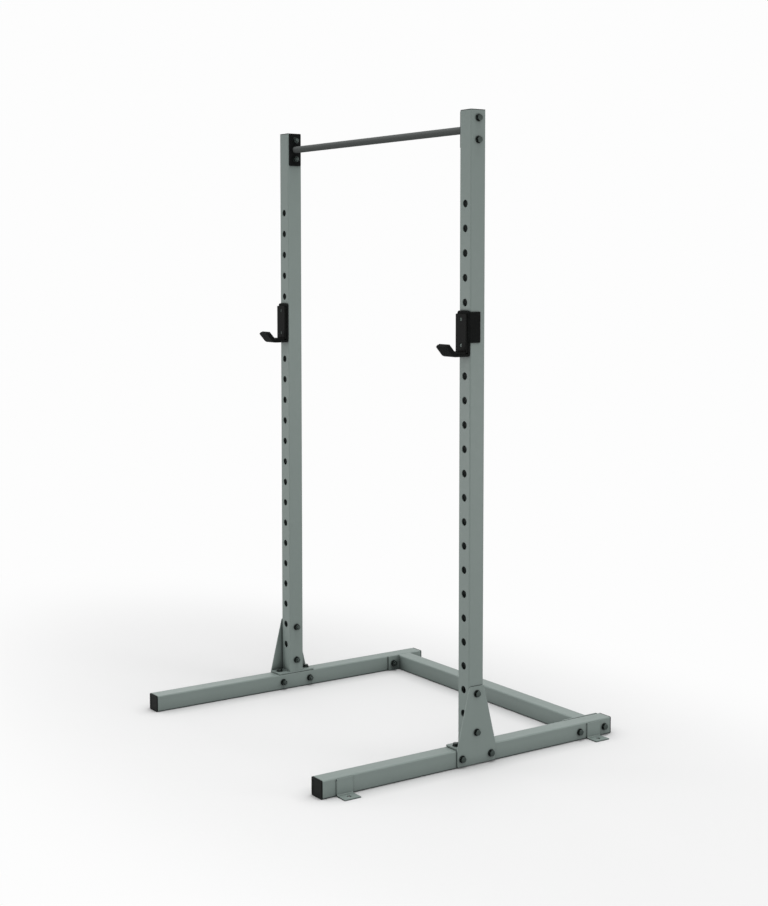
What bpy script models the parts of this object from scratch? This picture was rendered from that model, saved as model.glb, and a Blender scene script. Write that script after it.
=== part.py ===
"""Quarter rack: two perforated square-tube uprights bolted to long feet, tied by a rear cross
member and a pull-up bar, with a pair of cradles whose pins slide in the upright holes.

Metres, +Z up. X runs along the pull-up bar and the front of the rack faces -Y. The origin is on
the floor, midway between the two uprights and level with their centre lines.
"""

import math

import bmesh
import bpy
from mathutils import Matrix, Vector

# Overall
RACK_WIDTH = 1.200  # over the outer faces of the uprights
RACK_HEIGHT = 2.150  # floor to the cut end of an upright
FOOT_LENGTH = 1.200  # front to rear, without the end caps

# Square tube of the uprights, the feet and the cross member
TUBE = 0.060
TUBE_WALL = 0.003
TUBE_CORNER = 0.005
CORNER_STEPS = 2
SEAT_GAP = 0.0003  # between two pieces that rest on each other

# Pin holes, front to back through an upright
PIN_HOLE_DIA = 0.025
PIN_HOLE_PITCH = 0.080
TOP_HOLE_DROP = 0.300  # cut end of the upright to its top hole
LOWEST_HOLE = 0.150  # no hole has its centre below this height
PIN_HOLE_SIDES = 12

# Bolted joints
BOLT_DIA = 0.012
BOLT_SIDES = 8
BOLT_CLEARANCE = 0.0006  # bolt to its hole, on the radius
HEAD_FLATS = 0.018
HEAD_HEIGHT = 0.0075
NUT_HEIGHT = 0.0105
WASHER_DIA = 0.024
WASHER_THICKNESS = 0.0025
WASHER_SIDES = 10
THREAD_PAST_NUT = 0.004
WELD_NUT_DIA = 0.022
WELD_NUT_HEIGHT = 0.009

# Foot of an upright: welded base flange and outer gusset plate
FLANGE_THICKNESS = 0.006
FLANGE_LENGTH = 0.160
BASE_BOLT_EDGE = 0.020  # end of the base flange to its bolt
GUSSET_THICKNESS = 0.004
GUSSET_TOP = 0.265
GUSSET_BOTTOM = 0.004
GUSSET_CORNER = 0.006
GUSSET_BOLT_DROP = 0.025  # top edge of the gusset to its upper bolt
GUSSET_BOLT_SPACING = 0.130
PLATE_CORNER = 0.004
WELD_SINK = 0.003  # how far a tube end enters the plate that it is welded to

# Rear cross member
CROSS_INSET = 0.005  # rear end of the feet to its flange
CROSS_BOLT_EDGE = 0.023  # end of the flange to its bolt
VENT_DIA = 0.012

# Pull-up bar
BAR_DIA = 0.025
BAR_WALL = 0.0025
BAR_SIDES = 24
BAR_FLANGE_WIDTH = 0.050
BAR_FLANGE_HEIGHT = 0.120
BAR_FLANGE_THICKNESS = 0.005
BAR_BOLT_EDGE = 0.025  # top or bottom of the flange to its bolt

# Floor tabs, one near each end of a foot
TAB_WIDTH = 0.060
TAB_HEIGHT = 0.056
TAB_REACH = 0.050  # foot side to the tab's outer edge
TAB_THICKNESS = 0.004
TAB_BEND_INSIDE = 0.004
TAB_END_DISTANCE = 0.050  # end of the foot to the tab
TAB_HOLE_DIA = 0.014

# End caps
FOOT_CAP_HEAD = 0.004
UPRIGHT_CAP_HEAD = 0.002
CAP_EDGE = 0.001
CAP_PLUG_DEPTH = 0.014
CAP_PLUG_WALL = 0.003
CAP_DISH_BORDER = 0.009
CAP_DISH_DEPTH = 0.0012

# Cradles
CUP_HOLE = 5  # hole that takes the cradle's pin, counted from the top one as 0
CUP_PLATE = 0.008
CUP_RISE = 0.054  # pin to the plate's top edge
CUP_DROP = 0.091  # pin to the middle of the tray's plate
TRAY_REACH = 0.065  # upright to the middle of the bend under the lip
LIP_RUN = 0.030
LIP_RISE = 0.034
CUP_BACK_BEND_INSIDE = 0.002
LIP_BEND_INSIDE = 0.004  # on the inner side of the liner
CUP_CORNER = 0.010
CUP_PIN_DIA = 0.024
CUP_PIN_LENGTH = 0.050
CUP_PIN_CHAMFER = 0.002
LINER_THICKNESS = 0.008
LINER_INSET = 0.002  # side edge of the tube's width to the liner
LINER_CORNER = 0.003
BACK_LINER_DROP = 0.010  # top edge of the plate to the top of the back liner
LIP_LINER_DROP = 0.005
SIDE_FLANGE_THICKNESS = 0.005
SIDE_FLANGE_CLEARANCE = 0.0005
SIDE_FLANGE_DEPTH = 0.038
SIDE_FLANGE_HEIGHT = 0.100
SIDE_FLANGE_EDGE = 0.0015

# Places worked out from the sizes above
SIDES = (("left", -1), ("right", 1))
UPRIGHT_X = (RACK_WIDTH - TUBE) / 2
BASE_FLANGE_Z = TUBE + SEAT_GAP + FLANGE_THICKNESS / 2
BASE_FLANGE_TOP = TUBE + SEAT_GAP + FLANGE_THICKNESS
TOP_HOLE_Z = RACK_HEIGHT - TOP_HOLE_DROP
PIN_HOLE_COUNT = 1 + math.floor((TOP_HOLE_Z - LOWEST_HOLE) / PIN_HOLE_PITCH)
GUSSET_BOLTS_Z = (GUSSET_TOP - GUSSET_BOLT_DROP, GUSSET_TOP - GUSSET_BOLT_DROP - GUSSET_BOLT_SPACING)
BAR_Z = RACK_HEIGHT - BAR_FLANGE_HEIGHT / 2
BAR_BOLTS_Z = (RACK_HEIGHT - BAR_BOLT_EDGE, RACK_HEIGHT - BAR_FLANGE_HEIGHT + BAR_BOLT_EDGE)
BASE_BOLTS_Y = (BASE_BOLT_EDGE - FLANGE_LENGTH / 2, FLANGE_LENGTH / 2 - BASE_BOLT_EDGE)
CROSS_Y = FOOT_LENGTH / 2 - CROSS_INSET - FLANGE_LENGTH / 2
CROSS_BOLT_OUT = FLANGE_LENGTH / 2 - CROSS_BOLT_EDGE
CROSS_BOLTS_Y = (CROSS_Y - CROSS_BOLT_OUT, CROSS_Y + CROSS_BOLT_OUT)
TUBE_INSIDE_X = RACK_WIDTH / 2 - TUBE  # inner face of the uprights and the feet
BOLT_HOLE_RADIUS = BOLT_DIA / 2 + BOLT_CLEARANCE
CUP_PIN_Z = TOP_HOLE_Z - CUP_HOLE * PIN_HOLE_PITCH
CUP_PLATE_Y = -TUBE / 2 - SEAT_GAP - CUP_PLATE / 2

# Turns that lay a flat shape, drawn in X and Y and thick in Z, into another plane
FACING_X = (math.pi / 2, 0, math.pi / 2)  # its X along Y, its Y along Z
FACING_Y = (math.pi / 2, 0, 0)  # its Y along Z
FLAT = (0, 0, 0)


def start_empty():
    """Remove what the scene holds."""
    for item in list(bpy.data.objects):
        bpy.data.objects.remove(item)


def new_collection(name):
    collection = bpy.data.collections.new(name)
    bpy.context.scene.collection.children.link(collection)
    return collection


def finish(name, colour, roughness, metallic=0.0):
    """Surface of one kind of piece, from its sRGB colour."""
    value = bpy.data.materials.new(name)
    value.use_nodes = True
    shader = value.node_tree.nodes["Principled BSDF"]
    channels = [int(colour[i:i + 2], 16) / 255 for i in (0, 2, 4)]
    linear = [c / 12.92 if c <= 0.04045 else ((c + 0.055) / 1.055) ** 2.4 for c in channels]
    shader.inputs["Base Color"].default_value = (*linear, 1)
    shader.inputs["Roughness"].default_value = roughness
    shader.inputs["Metallic"].default_value = metallic
    value.diffuse_color = (*linear, 1)
    return value


def arc(corner, before, after, radius, steps):
    """Points of the arc that rounds a corner between its two neighbours."""
    to_before = (before - corner).normalized()
    to_after = (after - corner).normalized()
    half = to_before.angle(to_after) / 2
    centre = corner + (to_before + to_after).normalized() * radius / math.sin(half)
    start = (corner + to_before * radius / math.tan(half) - centre).normalized()
    end = (corner + to_after * radius / math.tan(half) - centre).normalized()
    return [centre + start.slerp(end, step / steps) * radius for step in range(steps + 1)]


def rounded(corners, radius, steps=CORNER_STEPS):
    """Closed outline through the corners, each one rounded."""
    ring = [Vector((*corner, 0)) for corner in corners]
    points = []
    for i, corner in enumerate(ring):
        points += arc(corner, ring[i - 1], ring[(i + 1) % len(ring)], radius, steps)
    return [(point.x, point.y) for point in points]


def rectangle(width, height, radius, steps=CORNER_STEPS):
    x, y = width / 2, height / 2
    return rounded([(-x, -y), (x, -y), (x, y), (-x, y)], radius, steps)


def circle(radius, sides, centre=(0, 0)):
    turns = [2 * math.pi * i / sides for i in range(sides)]
    return [(centre[0] + radius * math.cos(t), centre[1] + radius * math.sin(t)) for t in turns]


def weld(mesh):
    """Close the seams of a mesh made from a curve and point its faces out."""
    shape = bmesh.new()
    shape.from_mesh(mesh)
    bmesh.ops.remove_doubles(shape, verts=shape.verts, dist=0.00001)
    bmesh.ops.recalc_face_normals(shape, faces=shape.faces)
    shape.to_mesh(mesh)
    shape.free()


def extrusion(name, outline, thickness, holes=()):
    """Flat outline with holes, thick to both sides of its plane."""
    curve = bpy.data.curves.new(name, "CURVE")
    curve.dimensions = "2D"
    curve.fill_mode = "BOTH"
    curve.extrude = thickness / 2
    for ring in (outline, *holes):
        spline = curve.splines.new("POLY")
        spline.points.add(len(ring) - 1)
        for point, place in zip(spline.points, ring):
            point.co = (*place, 0, 1)
        spline.use_cyclic_u = True
    holder = bpy.data.objects.new(name, curve)
    bpy.context.scene.collection.objects.link(holder)
    graph = bpy.context.evaluated_depsgraph_get()
    mesh = bpy.data.meshes.new_from_object(holder.evaluated_get(graph))
    bpy.data.objects.remove(holder)
    bpy.data.curves.remove(curve)
    mesh.name = name
    weld(mesh)
    return mesh


def square_tube(name, length):
    """Square tube along Z, open at both ends."""
    inside = TUBE - 2 * TUBE_WALL
    bore = rectangle(inside, inside, TUBE_CORNER - TUBE_WALL)
    return extrusion(name, rectangle(TUBE, TUBE, TUBE_CORNER), length, [bore])


def cylinders(name, pieces):
    """One mesh of separate cylinders, each given as radius, length, sides and matrix."""
    shape = bmesh.new()
    for radius, length, sides, matrix in pieces:
        bmesh.ops.create_cone(
            shape, cap_ends=True, segments=sides, radius1=radius, radius2=radius,
            depth=length, matrix=matrix)
    mesh = bpy.data.meshes.new(name)
    shape.to_mesh(mesh)
    shape.free()
    return mesh


def along_x(x, y, z):
    return Matrix.Translation((x, y, z)) @ Matrix.Rotation(math.pi / 2, 4, "Y")


def along_y(x, y, z):
    return Matrix.Translation((x, y, z)) @ Matrix.Rotation(math.pi / 2, 4, "X")


def along_z(x, y, z):
    return Matrix.Translation((x, y, z))


def bent_sheet(name, corners, bends, width, corner_radius):
    """Open sheet along X, bent through the corners given in Y and Z, with rounded ends."""
    ring = [Vector((0, *corner)) for corner in corners]
    path = [ring[0]]
    for i, bend in enumerate(bends, start=1):
        path += arc(ring[i], ring[i - 1], ring[i + 1], bend, CORNER_STEPS + 1)
    path.append(ring[-1])
    shape = bmesh.new()
    points = [shape.verts.new(point - Vector((width / 2, 0, 0))) for point in path]
    edges = [shape.edges.new(pair) for pair in zip(points, points[1:])]
    swept = bmesh.ops.extrude_edge_only(shape, edges=edges)["geom"]
    moved = [item for item in swept if isinstance(item, bmesh.types.BMVert)]
    bmesh.ops.translate(shape, verts=moved, vec=(width, 0, 0))
    bmesh.ops.recalc_face_normals(shape, faces=shape.faces)
    ends = [vert for vert in shape.verts if len(vert.link_edges) == 2]
    bmesh.ops.bevel(
        shape, geom=ends, offset=corner_radius, offset_type="OFFSET", segments=CORNER_STEPS,
        profile=0.5, affect="VERTICES")
    mesh = bpy.data.meshes.new(name)
    shape.to_mesh(mesh)
    shape.free()
    return mesh


def place(name, mesh, surface, collection, location, rotation=FLAT, parent=None):
    """Object for a piece; a parented piece has its location in its parent's frame."""
    piece = bpy.data.objects.new(name, mesh)
    piece.location = location
    piece.rotation_euler = rotation
    piece.parent = parent
    if surface and not mesh.materials:
        mesh.materials.append(surface)
    collection.objects.link(piece)
    return piece


def helper(name, mesh, location=(0, 0, 0), rotation=FLAT, parent=None):
    """Shape that only cuts or extends a piece."""
    tool = place(name, mesh, None, HELPERS, location, rotation, parent)
    tool.hide_render = True
    tool.display_type = "WIRE"
    return tool


def combine(piece, tool, operation):
    step = piece.modifiers.new(tool.name, "BOOLEAN")
    step.object = tool
    step.operation = operation
    step.solver = "EXACT"
    return step


def thicken(piece, thickness):
    """Give an open sheet its thickness, half to each side."""
    step = piece.modifiers.new("thickness", "SOLIDIFY")
    step.thickness = thickness
    step.offset = 0
    step.use_even_offset = True
    return step


def settled(piece):
    """The piece's shape with its modifiers built in, for repeated use."""
    graph = bpy.context.evaluated_depsgraph_get()
    mesh = bpy.data.meshes.new_from_object(piece.evaluated_get(graph))
    mesh.name = piece.name
    bpy.data.objects.remove(piece)
    return mesh


def shade_round(mesh):
    mesh.shade_smooth()
    mesh.set_sharp_from_angle(angle=math.radians(40))


def bolt_mesh(name, length):
    """Hexagon bolt with its washer on, seated at Z 0, its shank running down by the length."""
    top = WASHER_THICKNESS + HEAD_HEIGHT
    head_root = WASHER_THICKNESS / 2
    shank_root = WASHER_THICKNESS * 3 / 4
    head = cylinders(name + "_head", [
        (HEAD_FLATS / math.sqrt(3), top - head_root, 6, along_z(0, 0, (top + head_root) / 2))])
    washer = cylinders(name + "_washer", [
        (WASHER_DIA / 2, WASHER_THICKNESS, WASHER_SIDES, along_z(0, 0, WASHER_THICKNESS / 2))])
    shank = cylinders(name + "_shank", [
        (BOLT_DIA / 2, shank_root + length, BOLT_SIDES, along_z(0, 0, (shank_root - length) / 2))])
    piece = place(name, washer, None, HELPERS, (0, 0, 0))
    combine(piece, helper(name + "_head", head), "UNION")
    combine(piece, helper(name + "_shank", shank), "UNION")
    return settled(piece)


def nut_mesh(name):
    """Hexagon nut with its washer on, seated at Z 0 and standing up."""
    top = WASHER_THICKNESS + NUT_HEIGHT
    root = WASHER_THICKNESS / 2
    hexagon = cylinders(name + "_hexagon", [
        (HEAD_FLATS / math.sqrt(3), top - root, 6, along_z(0, 0, (top + root) / 2))])
    washer = cylinders(name + "_washer", [
        (WASHER_DIA / 2, WASHER_THICKNESS, WASHER_SIDES, along_z(0, 0, WASHER_THICKNESS / 2))])
    bore = cylinders(name + "_bore", [
        (BOLT_DIA / 2 + SEAT_GAP, 2 * top, BOLT_SIDES, along_z(0, 0, top / 2))])
    piece = place(name, washer, None, HELPERS, (0, 0, 0))
    combine(piece, helper(name + "_hexagon", hexagon), "UNION")
    combine(piece, helper(name + "_bore", bore), "DIFFERENCE")
    return settled(piece)


def through_bolt(label, side_name, side, bolt, nut, outer_x, inner_x, y, z):
    """Bolt from the outer side through to its nut on the inner side, along X."""
    outwards = (0, side * math.pi / 2, 0)
    inwards = (0, -side * math.pi / 2, 0)
    where = label.split("_")
    bolt_name = f"{where[0]}_bolt_{side_name}_{where[1]}"
    nut_name = f"{where[0]}_nut_{side_name}_{where[1]}"
    place(bolt_name, bolt, STEEL, RACK, (side * (outer_x + SEAT_GAP), y, z), outwards)
    place(nut_name, nut, STEEL, RACK, (side * (inner_x - SEAT_GAP), y, z), inwards)


def upright(side_name, side):
    """Perforated square tube with its base flange welded on."""
    foot_z = BASE_FLANGE_TOP - WELD_SINK
    length = RACK_HEIGHT - foot_z
    name = f"upright_{side_name}"
    x = side * UPRIGHT_X
    piece = place(name, square_tube(name, length), SAGE, RACK, (x, 0, foot_z + length / 2))
    pin_holes = [
        (PIN_HOLE_DIA / 2, 2 * TUBE, PIN_HOLE_SIDES, along_y(x, 0, TOP_HOLE_Z - i * PIN_HOLE_PITCH))
        for i in range(PIN_HOLE_COUNT)]
    combine(piece, helper(name + "_pin_holes", cylinders(name + "_pin_holes", pin_holes)), "DIFFERENCE")
    cross_holes = [
        (BOLT_HOLE_RADIUS, 2 * TUBE, BOLT_SIDES, along_x(x, 0, z)) for z in GUSSET_BOLTS_Z + BAR_BOLTS_Z]
    combine(piece, helper(name + "_bolt_holes", cylinders(name + "_bolt_holes", cross_holes)), "DIFFERENCE")
    base_holes = [circle(BOLT_HOLE_RADIUS, BOLT_SIDES, (0, y)) for y in BASE_BOLTS_Y]
    plate = extrusion(
        name + "_flange", rectangle(TUBE, FLANGE_LENGTH, PLATE_CORNER), FLANGE_THICKNESS, base_holes)
    combine(piece, helper(name + "_flange", plate, (x, 0, BASE_FLANGE_Z)), "UNION")


def gusset_plate(side_name, side):
    """Outer plate that bolts an upright to its foot, wide below and tapered to the tube's width."""
    wide, narrow = FLANGE_LENGTH / 2, TUBE / 2
    corners = [
        (-wide, GUSSET_BOTTOM), (wide, GUSSET_BOTTOM), (wide, TUBE),
        (narrow, GUSSET_TOP), (-narrow, GUSSET_TOP), (-wide, TUBE)]
    centres = [(0, z) for z in GUSSET_BOLTS_Z] + [(y, TUBE / 2) for y in BASE_BOLTS_Y]
    holes = [circle(BOLT_HOLE_RADIUS, BOLT_SIDES, centre) for centre in centres]
    name = f"gusset_plate_{side_name}"
    mesh = extrusion(name, rounded(corners, GUSSET_CORNER), GUSSET_THICKNESS, holes)
    x = RACK_WIDTH / 2 + SEAT_GAP + GUSSET_THICKNESS / 2
    place(name, mesh, SAGE, RACK, (side * x, 0, 0), FACING_X)


def foot(side_name, side):
    """Long square tube on the floor, with nuts welded inside for the upright's base flange."""
    name = f"foot_{side_name}"
    x = side * UPRIGHT_X
    piece = place(name, square_tube(name, FOOT_LENGTH), SAGE, RACK, (x, 0, TUBE / 2), FACING_Y)
    nut_z = TUBE - TUBE_WALL / 2 - WELD_NUT_HEIGHT / 2
    nuts = [(WELD_NUT_DIA / 2, WELD_NUT_HEIGHT, 6, along_z(x, y, nut_z)) for y in BASE_BOLTS_Y]
    combine(piece, helper(name + "_weld_nuts", cylinders(name + "_weld_nuts", nuts)), "UNION")
    down = [(BOLT_HOLE_RADIUS, TUBE, BOLT_SIDES, along_z(x, y, TUBE)) for y in BASE_BOLTS_Y]
    combine(piece, helper(name + "_base_holes", cylinders(name + "_base_holes", down)), "DIFFERENCE")
    across = [
        (BOLT_HOLE_RADIUS, 2 * TUBE, BOLT_SIDES, along_x(x, y, TUBE / 2))
        for y in BASE_BOLTS_Y + CROSS_BOLTS_Y]
    combine(piece, helper(name + "_bolt_holes", cylinders(name + "_bolt_holes", across)), "DIFFERENCE")


def floor_tab(side_name, side, end_name, end):
    """Angle on the outer side of a foot, with a hole to bolt the rack down."""
    middle = TAB_THICKNESS / 2
    corners = [(SEAT_GAP + middle, TAB_HEIGHT), (SEAT_GAP + middle, middle), (TAB_REACH, middle)]
    name = f"floor_tab_{side_name}_{end_name}"
    mesh = bent_sheet(name, corners, [TAB_BEND_INSIDE + middle], TAB_WIDTH, PLATE_CORNER)
    y = end * (FOOT_LENGTH / 2 - TAB_END_DISTANCE - TAB_WIDTH / 2)
    turn = (0, 0, -side * math.pi / 2)
    piece = place(name, mesh, SAGE, RACK, (side * RACK_WIDTH / 2, y, 0), turn)
    thicken(piece, TAB_THICKNESS)
    hole_x = RACK_WIDTH / 2 + (TAB_THICKNESS + TAB_REACH) / 2
    hole = [(TAB_HOLE_DIA / 2, 4 * TAB_THICKNESS, PIN_HOLE_SIDES, along_z(side * hole_x, y, 0))]
    combine(piece, helper(name + "_hole", cylinders(name + "_hole", hole)), "DIFFERENCE")


def rear_cross_member():
    """Square tube between the feet, with a bolting flange welded to each end."""
    name = "rear_cross_member"
    flange_x = TUBE_INSIDE_X - SEAT_GAP - FLANGE_THICKNESS / 2
    length = 2 * (flange_x - FLANGE_THICKNESS / 2 + WELD_SINK)
    piece = place(name, square_tube(name, length), SAGE, RACK, (0, CROSS_Y, TUBE / 2), FACING_X)
    centres = [(y - CROSS_Y, 0) for y in CROSS_BOLTS_Y]
    holes = [circle(BOLT_HOLE_RADIUS, BOLT_SIDES, centre) for centre in centres]
    holes.append(circle(VENT_DIA / 2, BOLT_SIDES))
    plate = extrusion(
        name + "_flange", rectangle(FLANGE_LENGTH, TUBE, PLATE_CORNER), FLANGE_THICKNESS, holes)
    for side_name, side in SIDES:
        flange = helper(
            f"{name}_flange_{side_name}", plate, (side * flange_x, CROSS_Y, TUBE / 2), FACING_X)
        combine(piece, flange, "UNION")


def pull_up_bar():
    """Round tube between the upright tops, with a bolting flange welded to each end."""
    name = "pull_up_bar"
    flange_x = TUBE_INSIDE_X - SEAT_GAP - BAR_FLANGE_THICKNESS / 2
    length = 2 * (flange_x - BAR_FLANGE_THICKNESS / 2 + WELD_SINK)
    bore = circle(BAR_DIA / 2 - BAR_WALL, BAR_SIDES)
    tube = extrusion(name, circle(BAR_DIA / 2, BAR_SIDES), length, [bore])
    shade_round(tube)
    piece = place(name, tube, BLACK_COAT, RACK, (0, 0, BAR_Z), FACING_X)
    centres = [(0, z - BAR_Z) for z in BAR_BOLTS_Z]
    holes = [circle(BOLT_HOLE_RADIUS, BOLT_SIDES, centre) for centre in centres]
    holes.append(circle(VENT_DIA / 2, BOLT_SIDES))
    outline = rectangle(BAR_FLANGE_WIDTH, BAR_FLANGE_HEIGHT, PLATE_CORNER)
    plate = extrusion(name + "_flange", outline, BAR_FLANGE_THICKNESS, holes)
    for side_name, side in SIDES:
        flange = helper(f"{name}_flange_{side_name}", plate, (side * flange_x, 0, BAR_Z), FACING_X)
        combine(piece, flange, "UNION")


def cap_mesh(name, head, dish_depth=0):
    """Push-in cap for a square tube: its head stands on Z 0, its hollow plug hangs below."""
    cover = extrusion(name, rectangle(TUBE, TUBE, TUBE_CORNER), head)
    cover.transform(along_z(0, 0, head / 2))
    piece = place(name, cover, None, HELPERS, (0, 0, 0))
    edge = piece.modifiers.new("edge", "BEVEL")
    edge.width = CAP_EDGE
    edge.segments = 1
    edge.limit_method = "ANGLE"
    edge.angle_limit = math.radians(60)
    outside = TUBE - 2 * TUBE_WALL - 2 * SEAT_GAP
    inside = outside - 2 * CAP_PLUG_WALL
    corner = TUBE_CORNER - TUBE_WALL
    sink = head / 4
    depth = CAP_PLUG_DEPTH + sink
    plug = extrusion(
        name + "_plug", rectangle(outside, outside, corner), depth, [rectangle(inside, inside, corner)])
    combine(piece, helper(name + "_plug", plug, (0, 0, sink - depth / 2)), "UNION")
    if dish_depth:
        width = TUBE - 2 * CAP_DISH_BORDER
        dish = extrusion(name + "_dish", rectangle(width, width, TUBE_CORNER), 2 * dish_depth)
        combine(piece, helper(name + "_dish", dish, (0, 0, head)), "DIFFERENCE")
    return settled(piece)


def end_caps():
    """Plastic caps in the upright tops and in both ends of the feet."""
    upright_cap = cap_mesh("upright_cap", UPRIGHT_CAP_HEAD)
    foot_cap = cap_mesh("foot_cap", FOOT_CAP_HEAD, CAP_DISH_DEPTH)
    for side_name, side in SIDES:
        x = side * UPRIGHT_X
        place(f"upright_cap_{side_name}", upright_cap, PLASTIC, RACK, (x, 0, RACK_HEIGHT + SEAT_GAP))
        y = FOOT_LENGTH / 2 + SEAT_GAP
        place(f"foot_cap_{side_name}_front", foot_cap, PLASTIC, RACK, (x, -y, TUBE / 2), FACING_Y)
        turned = (-math.pi / 2, 0, 0)
        place(f"foot_cap_{side_name}_rear", foot_cap, PLASTIC, RACK, (x, y, TUBE / 2), turned)


def cradle_path():
    """Middle of the cradle's plate in Y and Z, from the pin's centre on the upright's face."""
    back_y = CUP_PLATE_Y + TUBE / 2
    bend = (-TRAY_REACH, -CUP_DROP)
    tip = (bend[0] - LIP_RUN, bend[1] + LIP_RISE)
    return [(back_y, CUP_RISE), (back_y, -CUP_DROP), bend, tip]


def cradle_pin():
    """Plain pin with a chamfered tip, turned about Z and pointing up."""
    radius = CUP_PIN_DIA / 2
    top = CUP_PIN_LENGTH
    bottom = -CUP_PLATE / 2
    profile = [
        (0, top), (radius - CUP_PIN_CHAMFER, top), (radius, top - CUP_PIN_CHAMFER),
        (radius, bottom), (0, bottom)]
    mesh = bpy.data.meshes.new("cradle_pin")
    points = [(x, 0, z) for x, z in profile]
    mesh.from_pydata(points, [(i, i + 1) for i in range(len(points) - 1)], [])
    piece = place("cradle_pin", mesh, None, HELPERS, (0, 0, 0))
    turn = piece.modifiers.new("turn", "SCREW")
    turn.steps = PIN_HOLE_SIDES
    turn.render_steps = PIN_HOLE_SIDES
    turn.use_merge_vertices = True
    turn.merge_threshold = 0.00001
    return settled(piece)


def j_cup(side_name, side, pin):
    """Cradle: bent plate with a welded pin and an outer side flange, and two liners."""
    holder = bpy.data.objects.new(f"j_cup_{side_name}", None)
    holder.location = (side * UPRIGHT_X, -TUBE / 2, CUP_PIN_Z)
    RACK.objects.link(holder)
    path = cradle_path()
    name = f"j_cup_hook_{side_name}"
    lip_bend = LIP_BEND_INSIDE + LINER_THICKNESS + SEAT_GAP + CUP_PLATE / 2
    bends = [CUP_BACK_BEND_INSIDE + CUP_PLATE / 2, lip_bend]
    hook = place(name, bent_sheet(name, path, bends, TUBE, CUP_CORNER), BLACK_COAT, RACK,
                 (0, 0, 0), FLAT, holder)
    thicken(hook, CUP_PLATE)
    outline = side_flange_outline(side, path[0][0])
    flange = extrusion(name + "_side", outline, SIDE_FLANGE_HEIGHT)
    combine(hook, helper(name + "_side", flange, (0, 0, 0), FLAT, holder), "UNION")
    pin_root = (0, path[0][0] + CUP_PLATE / 2, 0)
    combine(hook, helper(name + "_pin", pin, pin_root, (-math.pi / 2, 0, 0), holder), "UNION")
    back_liner(side_name, holder, path)
    tray_liner(side_name, holder, path, lip_bend)


def side_flange_outline(side, plate_y):
    """Angle in X and Y, welded to the plate's edge, that goes round the outer side of the upright."""
    inner = TUBE / 2 + SIDE_FLANGE_CLEARANCE
    outer = inner + SIDE_FLANGE_THICKNESS
    root = TUBE / 2 - CUP_PLATE
    front, back = plate_y - SIDE_FLANGE_THICKNESS / 2, plate_y + SIDE_FLANGE_THICKNESS / 2
    rear = plate_y + CUP_PLATE / 2 + SIDE_FLANGE_DEPTH
    corners = [(root, front), (outer, front), (outer, rear), (inner, rear), (inner, back), (root, back)]
    return rounded([(side * x, y) for x, y in corners], SIDE_FLANGE_EDGE)


def back_liner(side_name, holder, path):
    """Flat pad on the front of the cradle's back plate."""
    top = CUP_RISE - BACK_LINER_DROP
    bottom = path[1][1] + CUP_PLATE / 2 + CUP_BACK_BEND_INSIDE + SEAT_GAP
    width = TUBE - 2 * LINER_INSET
    name = f"j_cup_back_liner_{side_name}"
    mesh = extrusion(name, rectangle(width, top - bottom, LINER_CORNER), LINER_THICKNESS)
    y = path[0][0] - CUP_PLATE / 2 - SEAT_GAP - LINER_THICKNESS / 2
    place(name, mesh, LINER, RACK, (0, y, (top + bottom) / 2), FACING_Y, holder)


def tray_liner(side_name, holder, path, lip_bend):
    """Pad that follows the tray and the inside of the lip, up to the back liner."""
    off = CUP_PLATE / 2 + SEAT_GAP + LINER_THICKNESS / 2
    bend, tip = Vector(path[2]), Vector(path[3])
    inwards = Vector((1, 0))
    up_lip = (tip - bend).normalized()
    corner = bend + (inwards + up_lip) * off / math.sin(inwards.angle(up_lip))
    square_off = Vector((up_lip.y, -up_lip.x)) * off
    end = tip - up_lip * LIP_LINER_DROP + square_off
    back = (path[0][0] - CUP_PLATE / 2 - LINER_THICKNESS - 2 * SEAT_GAP, corner.y)
    name = f"j_cup_tray_liner_{side_name}"
    width = TUBE - 2 * LINER_INSET
    mesh = bent_sheet(name, [back, tuple(corner), tuple(end)], [lip_bend - off], width, LINER_CORNER)
    piece = place(name, mesh, LINER, RACK, (0, 0, 0), FLAT, holder)
    thicken(piece, LINER_THICKNESS)


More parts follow.
